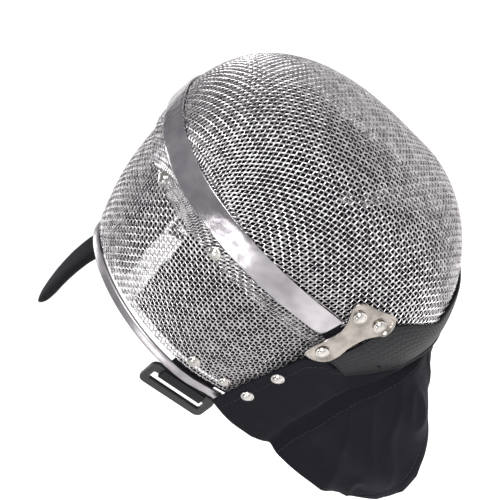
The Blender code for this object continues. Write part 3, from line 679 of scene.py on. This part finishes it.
band = to_piece("polished_forehead_band",
                draw_grid(260, 10, strip_place(0.0, 0.115, BAND_WIDTH, MESH_WALL / 2 + GAP + BAND_WALL, 0.25),
                          (400.0, BAND_WIDTH)), STRIP_STEEL, ["forehead_band"])
add_wall(band, BAND_WALL, 0.35)
rim = to_piece("rolled_rear_rim",
               draw_grid(220, 6, strip_place(1.0, 0.0, RIM_WIDTH, RIM_WALL / 2, 0.5), (330.0, RIM_WIDTH)),
               RIM_STEEL, ["rear_rim"])
add_wall(rim, RIM_WALL, 0.5, 2)
print("band", len(band.data.polygons), "cells, rim", len(rim.data.polygons), "cells")

# %% [markdown]
# ## Ear brackets
# Each bracket is pressed from one plate: an outline with three ears, a folded lip along its
# edge, and a dimple round each rivet. The outline is rounded through its stations, cut into
# cells of 1 mm, and each vertex of the outer face is raised or sunk by its distance from the
# edge and from the rivets.

# %% Ear brackets
BRACKET_WALL = 1.3
BRACKET_OUTLINE = [
    (25.5, 3.5), (25.0, -3.0), (21.5, -9.0), (16.0, -11.8), (9.5, -11.6), (3.0, -10.0),
    (-4.0, -9.2), (-11.0, -10.0), (-17.0, -13.0), (-22.0, -15.6), (-27.5, -15.0), (-32.0, -12.0),
    (-33.5, -8.0), (-31.0, 0.0), (-28.0, 8.0), (-25.5, 13.5), (-22.0, 15.6), (-18.5, 14.5),
    (-16.0, 12.0), (-10.5, 8.5), (-4.0, 5.5), (3.0, 5.0), (9.0, 6.0), (16.0, 6.6), (22.0, 6.2),
]
BRACKET_RIVETS = [(15.9, -2.1), (-18.6, 6.4), (-23.2, -8.0)]


def between(a, b, c, d, t):
    """A point of the smooth line (Catmull-Rom) from b to c, at t from 0 to 1."""
    return 0.5 * (2 * b + (c - a) * t + (2 * a - 5 * b + 4 * c - d) * t * t + (3 * b - a - 3 * c + d) * t ** 3)


def closed_curve(stations, steps):
    """A smooth closed line through the stations."""
    pts = np.array(stations, float)
    out = []
    for i in range(len(pts)):
        a, b, c, d = (pts[(i + k) % len(pts)] for k in (-1, 0, 1, 2))
        out += [between(a, b, c, d, t) for t in np.arange(steps) / steps]
    return np.array(out)


def side_x(y, rise):
    """How far out the shell's side stands at y, ahead of the band and behind it."""
    bend = HALF_WIDTH * (1 - bow(np.maximum(0, -y) / FACE_DEPTH, HOOP_POWER))
    return HALF_WIDTH + rise - bend


def make_bracket(word, side):
    outline = closed_curve(BRACKET_OUTLINE, 3)
    bm = bmesh.new()
    bm.faces.new([bm.verts.new((0, y, z)) for y, z in outline])
    for axis, cuts in ((1, range(-33, 26)), (2, range(-15, 16))):
        direction = Vector((0, 1, 0)) if axis == 1 else Vector((0, 0, 1))
        for cut in cuts:
            geom = list(bm.verts) + list(bm.edges) + list(bm.faces)
            bmesh.ops.bisect_plane(bm, geom=geom, dist=1e-4, plane_co=direction * cut, plane_no=direction)
    bmesh.ops.remove_doubles(bm, verts=bm.verts, dist=0.05)
    flat = np.array([v.co[1:] for v in bm.verts])
    ends = np.roll(outline, -1, 0)
    span = ends - outline
    share = np.einsum("nik,ik->ni", flat[:, None] - outline, span) / np.sum(span ** 2, 1)
    nearest = outline + np.clip(share, 0, 1)[..., None] * span
    edge = np.linalg.norm(flat[:, None] - nearest, axis=-1).min(1)
    # The lip is folded up along the front edge and along the top of the rear arm.
    lip_here = np.maximum(smoothstep((-25.5 - flat[:, 0] - 0.42 * (flat[:, 1] - 2)) / 2.0),
                          smoothstep((flat[:, 1] - 2.5) / 1.5) * smoothstep((flat[:, 0] - 6) / 3))
    lift = 1.3 * lip_here * (1 - smoothstep((edge - 1.3) / 0.6)) - 0.4 * (1 - smoothstep(edge / 0.6))
    lift -= 0.8 * lip_here * smoothstep((edge - 1.5) / 0.5) * (1 - smoothstep((edge - 2.4) / 0.8))
    for y, z in BRACKET_RIVETS:
        away = np.hypot(flat[:, 0] - y, flat[:, 1] - z)
        lift -= 0.8 * smoothstep((6.6 - away) / 1.3)
    lift += 0.15 * np.sin(flat[:, 0] * 0.3) * smoothstep(edge / 3)
    rise = MESH_WALL / 2 + TRIM_RISE + TRIM_WALL + GAP + BRACKET_WALL + lift
    for vert, (y, z), x in zip(bm.verts, flat, side_x(flat[:, 0], rise)):
        vert.co = Vector((side * x, y, z)) * MM
    bm.normal_update()
    if sum(f.normal.x * f.calc_area() for f in bm.faces) * side < 0:
        bmesh.ops.reverse_faces(bm, faces=bm.faces)
    return add_wall(to_piece(f"pressed_bracket_{word}", bm, PLATE_STEEL, [f"ear_bracket_{word}"]),
                    BRACKET_WALL)


for word, side in SIDES:
    bracket = make_bracket(word, side)
print("bracket cells:", len(bracket.data.polygons))

# %% [markdown]
# ## Rivets
# A rivet's head is turned about its axis, so one half-section spun round makes it: a flat
# flange, a shallow groove, and a low dome. Its node in the frame says where it sits: its base
# is the largest flat face, so the base's middle and normal give the place and the direction.

# %% Rivets


def seat_of(node_name):
    """The middle of a rivet's base, the way it points, its radius and its height, in metres."""
    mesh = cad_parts[node_name].data
    sums = {}
    for face in mesh.polygons:
        sums.setdefault(tuple(round(c, 2) for c in face.normal), []).append(face)
    base = max(sums.values(), key=lambda faces: sum(f.area for f in faces))
    corners = [mesh.vertices[i].co for f in base for i in f.vertices]
    low, high = (Vector(f(c[k] for c in corners) for k in range(3)) for f in (min, max))
    middle, up = (low + high) / 2, -base[0].normal
    return (middle, up, max((c - middle).length for c in corners),
            max((v.co - middle).dot(up) for v in mesh.vertices))


def make_rivet(node_name):
    middle, up, radius, height = seat_of(node_name)
    if node_name.startswith("bracket"):
        middle = middle - up * 0.7 * MM
    section = [(1.0, 0.0), (1.0, 0.14), (0.97, 0.24), (0.86, 0.30), (0.80, 0.26), (0.76, 0.34), (0.70, 0.58),
               (0.60, 0.78), (0.45, 0.92), (0.25, 0.985), (0.0, 1.0)]
    bm = bmesh.new()
    verts = [bm.verts.new((r * radius, 0, z * height * 1.12)) for r, z in section]
    edges = [bm.edges.new(pair) for pair in zip(verts, verts[1:])]
    bmesh.ops.spin(bm, geom=verts + edges, cent=(0, 0, 0), axis=(0, 0, 1), angle=math.tau, steps=40,
                   use_merge=True, use_normal_flip=False, use_duplicate=False)
    bmesh.ops.remove_doubles(bm, verts=bm.verts, dist=0.01 * MM)
    bmesh.ops.contextual_create(bm, geom=[e for e in bm.edges if e.is_boundary])
    bmesh.ops.recalc_face_normals(bm, faces=bm.faces)
    turn = up.to_track_quat("Z", "Y").to_matrix().to_4x4()
    bmesh.ops.transform(bm, matrix=Matrix.Translation(middle) @ turn, verts=bm.verts)
    return to_piece(f"domed_{node_name}", bm, RIVET_STEEL, [node_name])


rivets = [make_rivet(name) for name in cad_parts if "_rivet_" in name]
print(len(rivets), "rivets of", len(rivets[0].data.polygons), "faces")

# %% [markdown]
# ## Chin trim
# A strip of coated cloth is drawn over the lower edge of the face mesh and folded under it. The
# wires print through, so its material carries their grid, and a piping closes its lower edge.

# %% Chin trim
LAP_FEET = {0.20: -32.0, 0.10: -44.0}


def chin_foot(turn):
    """Lowest edge of the face mesh, from the side of the jaw to under the chin."""
    return -53 - 17 * np.abs(np.sin(turn)) ** 0.8


def trim_top(turn):
    turned = np.degrees(np.minimum(turn, math.pi - turn))
    return -14 - 32 * smoothstep((turned - 11) / 22) - 9 * smoothstep((turned - 33) / 40)


def arch_turn(z):
    """The turn at which the band's arch passes height z on the right side."""
    leg = np.arcsin(np.clip(0.16 * (z - MESH_FOOT_Z) / (SHOULDER_Z - MESH_FOOT_Z), 0, 0.16))
    angle = np.arcsin(np.clip((z - SHOULDER_Z) / ARCH_RISE, 0, 1) ** (ARCH_POWER / 2))
    return leg + angle / (math.pi / 2) * (math.pi / 2 - LEG_TURN)


def face_point(z, lap, turn, side, rise):
    """A point off the face mesh. Where lap > 0 it lies that share behind the band, on its side."""
    level = np.maximum(z, MESH_FOOT_Z)
    at = arch_turn(level)
    behind = raised_skin(np.maximum(lap, 1e-4), np.where(side < 0, at, math.pi - at), rise)
    behind[:, 0] += side * (half_width(z) - half_width(level))
    behind[:, 1] += BAND_LEAN * (z - level)
    behind[:, 2] += z - level
    return np.where((lap > 0)[:, None], behind, raised_hoop(z, turn, rise))


def face_columns(u):
    """Splits a share u round the face into lap, turn and side. The laps take 0.09 at each end."""
    lap = LAP_BACK * np.maximum(0, np.abs(2 * u - 1) - 0.82) / 0.18
    turn = math.pi * np.clip((u - 0.09) / 0.82, 0, 1)
    return lap, turn, np.where(u < 0.5, -1, 1)


def lower_edge(lap, turn):
    """Foot of the mesh in front, and of its laps behind the band."""
    return np.where(lap > 0, np.interp(lap, (0, 0.1, 0.2), (-53, -44, -32)), chin_foot(turn))


def trim_place(u, v):
    """The strip hangs 3 mm below the mesh's foot and past its ends, to cover the bib's edge."""
    lap, turn, side = face_columns(u)
    foot, top = lower_edge(lap, turn) - 3.0, trim_top(turn)
    pad = 0.55 * np.sin(math.pi * np.clip(v, 0, 1)) ** 0.6
    rise = MESH_WALL / 2 + TRIM_RISE + TRIM_WALL - 0.35 + pad
    return face_point(foot + (top - foot) * v, lap * 1.15, turn, side, rise)


trim = to_piece("coated_chin_trim", draw_grid(260, 16, trim_place, (330.0, 28.0)), EDGING, ["chin_trim"])
add_wall(trim, TRIM_WALL, 0.5, 2)
around = np.linspace(0.0, 1.0, 240)
piping = make_wires("chin_trim_piping", [trim_place(around, 0 * around + 0.02) * MM], EDGING, 1.1 * MM, 3)
trim_steps = np.linalg.norm(np.diff(trim_place(around, 0 * around), axis=0), axis=1)
print("trim is", round(float(trim_steps.sum())), "mm long")

# %% [markdown]
# ## Bib
# The bib is a sheet of cotton twill, sewn along the mesh's lower edge. It drops to a fold under
# the jaw, and flares from there to a rounded hem. Its edge, fold and hem are three lines, and
# the cloth between them bows out. Slow noise along the normals gives creases, deeper towards
# the free hem, and the hem's turned edge is a little thicker.

# %% Bib lines
CLOTH_WALL = 1.8
BIB_FOLD = [(-99.5, 106.5, -60), (-99.0, 86, -55), (-99.0, 62, -52), (-99.5, 44, -50), (-98.5, 28, -50),
            (-95.0, 12, -55), (-87.0, -4, -65), (-72.0, -13, -75), (-44.0, -21, -83), (0.0, -24, -86)]
BIB_HEM = [(-105.0, 97, -140), (-105.5, 87, -156), (-105.0, 75, -163), (-104.0, 60, -162),
           (-101.0, 46, -157), (-95.0, 30, -147), (-84.0, 19, -137), (-66.0, 13, -131),
           (-38.0, 9, -128), (0.0, 8, -127)]
BIB_REAR = [(111, -3), (88, -3), (66, -3), (46, -3), (31, -3)]
BIB_STEP = (-12, -22)
BIB_BULGE, BIB_REAR_BOW, BIB_JOIN, BIB_WALL = 5.0, 5.0, 1.0, 3.5


def bib_top():
    """The sewn edge on the right: behind the band, down the trim's end, and along its foot."""
    rise = MESH_WALL / 2 + GAP + BIB_WALL
    trimmed = MESH_WALL / 2 + TRIM_RISE - 0.3
    points = []
    for y, z in BIB_REAR:
        width = HALF_WIDTH + (RIM_HALF_WIDTH - HALF_WIDTH) * y / RIM_Y
        over = rise + (RIM_WALL / 2 - MESH_WALL / 2 + 0.5) * smoothstep((y - 80) / 22)
        points.append((-width - over, y, z))

    def at(z, lap, degrees, out):
        return face_point(np.array([float(z)]), np.array([float(lap)]), np.array([math.radians(degrees)]),
                          np.array([-1]), out)[0]

    end = at(-20, LAP_BACK, 0, rise)
    points += [(-HALF_WIDTH - trimmed, end[1] + BIB_JOIN, z) for z in BIB_STEP]
    points += [at(LAP_FEET[lap] - BIB_JOIN, lap, 0, trimmed) for lap in (0.20, 0.10)]
    for degrees in (0, 8, 18, 30, 45, 60, 75, 90):
        points.append(at(chin_foot(math.radians(degrees)) - BIB_JOIN, 0, degrees, trimmed))
    points[-1] = (0.0, points[-1][1], points[-1][2])
    return np.array(points)


def open_curve(stations, place):
    """Points of a smooth line through the stations, at shares from 0 to 1."""
    pts = np.array(stations, float)
    ends = np.vstack([2 * pts[0] - pts[1], pts, 2 * pts[-1] - pts[-2]])
    at = np.clip(place, 0, 1) * (len(pts) - 1)
    i = np.minimum(at.astype(int), len(pts) - 2)
    return between(ends[i], ends[i + 1], ends[i + 2], ends[i + 3], (at - i)[:, None])


BIB_TOP = bib_top()
print("bib's sewn edge:", len(BIB_TOP), "stations on each side; lowest at", round(float(BIB_TOP[:, 2].min())), "mm")

# %% Bib
BIB_SPLIT = 0.42  # share of the rows that lie above the fold
BIB_MIDDLE = (0, 40, -60)  # a point inside the bib, for telling in from out


def bib_base(u, v):
    """The smooth bib: u runs from the right rear corner to the left one, v from edge to hem."""
    share = 1 - np.abs(2 * u - 1)
    flip = np.where(u < 0.5, 1, -1)[:, None] * (1, 0, 0) + (0, 1, 1)
    at = share * (len(BIB_TOP) - 1)
    top = np.stack([np.interp(at, np.arange(len(BIB_TOP)), BIB_TOP[:, k]) for k in range(3)], -1)
    fold, hem = open_curve(BIB_FOLD, share), open_curve(BIB_HEM, share)
    up, down = np.clip(v / BIB_SPLIT, 0, 1)[:, None], np.clip((v - BIB_SPLIT) / (1 - BIB_SPLIT), 0, 1)[:, None]
    upper = top + (fold - top) * up
    upper[:, 1] += BIB_REAR_BOW * np.sin(math.pi * up[:, 0]) * smoothstep((top[:, 1] - 80) / 31)
    lower = fold + (hem - fold) * down
    out = (lower - (0, 60, 0)) * (1, 1, 0)
    lower += out / np.linalg.norm(out, axis=-1, keepdims=True) * BIB_BULGE * np.sin(math.pi * down)
    return np.where(v[:, None] < BIB_SPLIT, upper, lower) * flip


def bib_creases(points, v):
    """How far each point stands off the smooth bib, in mm."""
    down = smoothstep((v - BIB_SPLIT) / (1 - BIB_SPLIT))
    rise = np.zeros(len(points))
    for i, p in enumerate(points):
        drape = noise.noise(Vector((p[0] * 0.012, p[1] * 0.042, p[2] * 0.014)))
        crease = 1 - abs(noise.noise(Vector((p[0] * 0.03 + 7, p[1] * 0.05 + p[2] * 0.035, p[2] * 0.02 + 3)))) * 4
        rise[i] = drape * (2.2 + 5.0 * down[i]) + max(0.0, crease) * (0.9 + 1.3 * down[i])
    valley = -2.4 * np.exp(-((v - BIB_SPLIT) / 0.035) ** 2) + 0.9 * np.exp(-((v - BIB_SPLIT - 0.07) / 0.05) ** 2)
    hem = 0.5 * smoothstep((v - 0.955) / 0.008)
    held = smoothstep(v / 0.16) * (1 - 0.6 * smoothstep((v - 0.8) / 0.2))
    return rise * held + valley + hem


def bib_place(u, v):
    base = bib_base(u, v)
    step = 0.004
    du = bib_base(np.minimum(1, u + step), v) - bib_base(np.maximum(0, u - step), v)
    dv = bib_base(u, np.minimum(1, v + step)) - bib_base(u, np.maximum(0, v - step))
    return base + outward(base, du, dv, BIB_MIDDLE) * bib_creases(base, v)[:, None]


bib = to_piece("twill_bib", draw_grid(300, 110, bib_place, (430.0, 115.0)), BIB_CLOTH, ["bib"])
add_wall(bib, CLOTH_WALL, 0.4, 2)

# %% [markdown]
# ## Facing, underlay and stitches
# Inside the mesh, a strip of the same twill faces the bib's seam. Under the band's end a patch
# of black cloth keeps the wires from the bracket, held by one small rivet. The seams are rows of
# short raised stitches: each is a bent thread, and a row is one piece.

# %% Facing and underlay


def facing_place(side):
    def place(u, v):
        along = -0.66 + 1.62 * u
        low = np.where(along < 0, -44 - 2 * smoothstep(-along / 0.6), -22 - 22 * smoothstep((0.3 - along) / 0.3))
        z = 2 + (low - 2) * v
        return raised_skin(along, 0 * along, lapped_rise(along) - 1.5, z) * (-side, 1, 1)

    return place


def underlay_place(side):
    def place(u, v):
        points = raised_skin(-0.05 + 0.13 * u, 0 * u, 1.75 + 0.3 * np.sin(math.pi * v), -12 + 21.5 * v)
        return points * (-side, 1, 1)

    return place


for word, side in SIDES:
    facing = to_piece(f"twill_facing_{word}", draw_grid(90, 16, facing_place(side), (190.0, 40.0)), BIB_CLOTH)
    add_wall(facing, 0.7, 0.2, 1)
    patch = to_piece(f"band_underlay_{word}", draw_grid(12, 16, underlay_place(side), (15.0, 21.5)), BIB_CLOTH)
    add_wall(patch, 0.6, 0.2, 1)

# %% Stitches


def make_stitches(name, seam, out, length=2.6, gap=1.2, mat=THREAD, slot="bib_cloth"):
    """A row of threads along a seam. Each dips into the cloth at its ends. Sizes in mm."""
    reach = np.r_[0, np.cumsum(np.linalg.norm(np.diff(seam, axis=0), axis=1))]
    rows = []
    for start in np.arange(0.5, reach[-1] - length, length + gap):
        at = start + length * np.array([0.0, 0.12, 0.5, 0.88, 1.0])
        points = np.stack([np.interp(at, reach, seam[:, k]) for k in range(3)], -1)
        lifts = np.stack([np.interp(at, reach, out[:, k]) for k in range(3)], -1)
        rows.append((points + lifts * np.array([-0.25, 0.12, 0.22, 0.12, -0.25])[:, None]) * MM)
    piece = make_wires(name, rows, mat, 0.26 * MM, 0)
    return piece


def bib_row(v, count=400):
    """Points and outward normals along the bib at a share v from its sewn edge to its hem."""
    u, at = np.linspace(0.004, 0.996, count), np.full(count, v)
    here = bib_place(u, at)
    along, down = bib_place(u + 0.003, at) - bib_place(u - 0.003, at), bib_place(u, at + 0.01) - here
    return here, outward(here, along, down, BIB_MIDDLE)


for label, share in (("edge", 0.06), ("fold", BIB_SPLIT + 0.055), ("hem", 0.945)):
    make_stitches(f"bib_{label}_stitches", *bib_row(share))

# %% [markdown]
# ## Padded pieces
# The tongue and the lining pads are foam in a cloth cover. A pad starts as a closed form a
# little too thin. It is remeshed into even cells, blown up for 20 frames as cloth with air
# pressure inside and no gravity, and each point's move is capped, so that it stays in its space.

# %% Helper that swells a pad
CLOTH_FRAMES = 20


def mesh_of(piece):
    return bpy.data.meshes.new_from_object(piece.evaluated_get(bpy.context.evaluated_depsgraph_get()))


def swell(piece, voxel, cap, pressure=4.0):
    """Remeshes a closed piece, blows it up as cloth, caps the moves and rounds it off."""
    mat = piece.data.materials[0]
    remesh = piece.modifiers.new("even cells", "REMESH")
    remesh.mode, remesh.voxel_size = "VOXEL", voxel * MM
    even = mesh_of(piece)
    piece.modifiers.clear()
    piece.data = even
    start = np.array([v.co[:] for v in even.vertices])
    cloth = piece.modifiers.new("cloth", "CLOTH")
    cloth.settings.use_pressure, cloth.settings.uniform_pressure_force = True, pressure
    cloth.settings.effector_weights.gravity = 0
    cloth.point_cache.frame_end = CLOTH_FRAMES
    for number in range(1, CLOTH_FRAMES + 1):
        bpy.context.scene.frame_set(number)
    blown = mesh_of(piece)
    move = np.array([v.co[:] for v in blown.vertices]) - start
    size = np.linalg.norm(move, axis=1, keepdims=True)
    move *= np.minimum(1, cap * MM / np.maximum(size, 1e-9))
    piece.modifiers.clear()
    even.vertices.foreach_set("co", (start + move).ravel())
    bpy.context.scene.frame_set(1)
    even.materials.clear()
    even.materials.append(mat)
    rounder = piece.modifiers.new("rounded", "SUBSURF")
    rounder.levels = rounder.render_levels = 1
    even.shade_smooth()
    return piece


# %% Lining pads
PAD_WALL, PAD_INSET, PAD_RAISED, SIDE_PAD_TOP = 8.0, 8.5, 3.5, 0.845
PAD_ROOM, PAD_VOXEL, PAD_CAP = 1.4, 3.0, 0.9  # what the wall leaves for swelling, cell size, largest move


def pad_rise(along):
    """The pads lie closer to the mesh near the head opening."""
    return -PAD_INSET + LAP_DROP + PAD_RAISED * smoothstep((along - 0.5) / 0.3) - 0.7


def pad_foot(along):
    """The pads end at the back mesh's foot, and reach lower ahead of the band."""
    return MESH_FOOT_Z - 20 * smoothstep(-along / 0.3)


def side_pad_place(side):
    def place(u, v):
        along = -0.62 + 1.54 * u
        points = raised_skin(along, 0.02 + (SIDE_PAD_TOP - 0.02) * v, pad_rise(along), pad_foot(along))
        return points * (-side, 1, 1)

    return place


def crown_pad_place(u, v):
    along = -0.42 + 1.28 * u
    low = SIDE_PAD_TOP + 0.045 + 0.08 * smoothstep((along - 0.1) / 0.2)
    return raised_skin(along, low + (math.pi - 2 * low) * v, pad_rise(along), pad_foot(along))


def make_pad(word, node_name, bm):
    pad = to_piece(f"lining_pad_{word}", bm, PAD_CLOTH, [node_name])
    swell(add_wall(pad, PAD_WALL - PAD_ROOM), PAD_VOXEL, PAD_CAP)
    return pad


for word, side in SIDES:
    make_pad(word, f"side_pad_{word}", draw_grid(80, 40, side_pad_place(side), (180.0, 110.0)))
pad = make_pad("crown", "crown_pad", draw_grid(60, 70, crown_pad_place, (150.0, 180.0)))
print("crown pad:", len(pad.data.polygons), "cells")

# %% [markdown]
# ## Tongue
# The sprung tongue is a flat pad round a strip of spring steel, sewn to a blunt point. Its
# section is a flattened oval that is swept along its line, then swelled like the other pads.

# %% Tongue
TONGUE = [(64, 113, 16), (90, 107.5, 17), (110, 103, 17.5), (128, 101.4, 17.5), (150, 102.8, 17.5),
          (172, 102, 17), (190, 99.5, 15.5), (205, 96.5, 11.5), (213, 95, 7.5), (218, 94, 3.5)]
TONGUE_WALL = 7.4


def make_tongue(rings=60, sides=28):
    share = np.linspace(0, 1, rings)
    line = open_curve(TONGUE, share)
    bm = bmesh.new()
    loops = []
    for k, (y, z, half) in enumerate(line):
        thick = (TONGUE_WALL / 2 - 0.6) * min(1.0, 0.45 + (rings - 1 - k) / 16.0)
        ring = bmesh.ops.create_circle(bm, cap_ends=k in (0, rings - 1), radius=1.0, segments=sides)["verts"]
        for vert in ring:
            c, s = vert.co.x, vert.co.y
            vert.co = Vector((math.copysign(abs(c) ** 0.55, c) * (half - 0.4), y,
                              z + math.copysign(abs(s) ** 0.8, s) * thick)) * MM
        loops.append([e for e in {e for v in ring for e in v.link_edges}])
    for a, b in zip(loops, loops[1:]):
        bmesh.ops.bridge_loops(bm, edges=a + b)
    bmesh.ops.recalc_face_normals(bm, faces=bm.faces)
    piece = to_piece("sewn_tongue", bm, PAD_CLOTH, ["tongue"])
    swell(piece, 2.5, 1.0)
    return piece


tongue = make_tongue()
print("tongue:", len(tongue.data.polygons), "cells")

# %% [markdown]
# ## Strap buckles
# The buckles are moulded frames, and the frame's own nodes are right, so they only get their
# plastic. The webbing is flat ribbon: one strip bent round the buckle's inner bar.

# %% Buckles and webbing
BUCKLE_DEPTH, BUCKLE_WALL, INNER_BAR, TAB_WIDTH, TAB_WALL, TAB_TAIL = 21.5, 3.2, 7.5, 36.0, 1.4, 12.0
BUCKLE_CENTRE = np.array([-86.0, 128.2, 15.0])


def buckle_axes():
    u = Vector((0.10, 0.14, 0.985)).normalized()
    v = Vector((0, 1, 0))
    v = (v - u * v.dot(u)).normalized()
    n = u.cross(v).normalized()
    return np.array([u, v, -n if n.x > 0 else n])


def webbing_place(side):
    near, far = -BUCKLE_DEPTH / 2 + GAP, -BUCKLE_DEPTH / 2 + INNER_BAR + GAP
    half = BUCKLE_WALL / 2 + GAP + TAB_WALL / 2
    bend = [(far + 0.8 * math.cos(a), half * math.sin(a)) for a in np.linspace(-math.pi / 2, math.pi / 2, 13)]
    path = np.array([(near - TAB_TAIL, -half), (near, -half)] + bend + [(near + 3.0, half + 0.1), (near, half)])
    length = np.r_[0, np.cumsum(np.linalg.norm(np.diff(path, axis=0), axis=1))]

    def place(u, v):
        at = u * length[-1]
        b, c = np.interp(at, length, path[:, 0]), np.interp(at, length, path[:, 1])
        a = (v - 0.5) * TAB_WIDTH
        points = BUCKLE_CENTRE + np.stack([a, b, c], -1) @ buckle_axes()
        return points * (-side, 1, 1)

    return place


for word, side in SIDES:
    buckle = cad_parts[f"buckle_{word}"]
    buckle.data.materials.clear()
    buckle.data.materials.append(ACETAL)
    tab = to_piece(f"webbing_tab_{word}", draw_grid(60, 30, webbing_place(side), (36.0, 36.0)), WEBBING,
                   [f"strap_tab_{word}"])
    add_wall(tab, TAB_WALL, 0.3, 2, 0.0)

# %% [markdown]
# ## Stage and light
# A white sweep of floor lies well below the mask, lit evenly. Large soft lights stand round the
# mask. Steel mirrors what surrounds it, so the world is bright above and grey at the horizon.

# %% Stage, lights and world
FLOOR_Z = -0.75


def make_stage():
    """A floor disc of 9 m that curves up into a low wall, turned about the vertical."""
    bm = bmesh.new()
    section = [(0.0, 0.0), (3.0, 0.0), (7.0, 0.0), (8.2, 0.2), (8.8, 0.8), (9.0, 2.0), (9.0, 3.0)]
    verts = [bm.verts.new((x, 0, FLOOR_Z + z)) for x, z in section]
    edges = [bm.edges.new(pair) for pair in zip(verts, verts[1:])]
    bmesh.ops.spin(bm, geom=verts + edges, cent=(0, 0, 0), axis=(0, 0, 1), angle=math.tau, steps=64,
                   use_merge=True, use_normal_flip=False, use_duplicate=False)
    bmesh.ops.remove_doubles(bm, verts=bm.verts, dist=0.001)
    mesh = bpy.data.meshes.new("floor")
    bm.to_mesh(mesh)
    bm.free()
    mesh.shade_smooth()
    mat, _, shader = new_material("painted pale floor", Base_Color=linear("#f4f3f2"), Roughness=0.9)
    shader.inputs["Emission Color"].default_value = linear("#ffffff")
    shader.inputs["Emission Strength"].default_value = 0.55
    link(bpy.data.objects.new("floor", mesh), mat)


def make_light(name, place, size, power):
    data = bpy.data.lights.new(name, "AREA")
    data.shape, data.size, data.energy = "DISK", size, power
    lamp = bpy.data.objects.new(name, data)
    lamp.location = place
    lamp.rotation_euler = (Vector(place) - CAMERA_AIM).to_track_quat("Z", "Y").to_euler()
    bpy.context.scene.collection.objects.link(lamp)


def make_world():
    world = bpy.data.worlds.new("studio")
    bpy.context.scene.world = world
    world.use_nodes = True
    tree = world.node_tree
    place = node(tree, "ShaderNodeTexCoord")
    axes = node(tree, "ShaderNodeSeparateXYZ", {"Vector": place.outputs["Generated"]})
    height = node(tree, "ShaderNodeMapRange", {"Value": axes.outputs["Z"], "From Min": -0.3, "From Max": 1.0})
    colour = paint(node(tree, "ShaderNodeValToRGB", {"Fac": height.outputs["Result"]}), "#3c3b40", "#e4e4e8")
    shade = tree.nodes["Background"]
    tree.links.new(colour, shade.inputs["Color"])
    shade.inputs["Strength"].default_value = 0.7


bpy.context.scene.view_settings.view_transform = "Standard"
make_stage()
make_world()
make_light("key", (-0.95, -0.6, 1.15), 0.8, 34.0)
make_light("fill", (-1.3, 0.9, 0.5), 0.6, 7.0)
make_light("rear", (0.6, 1.1, 0.9), 0.5, 7.0)
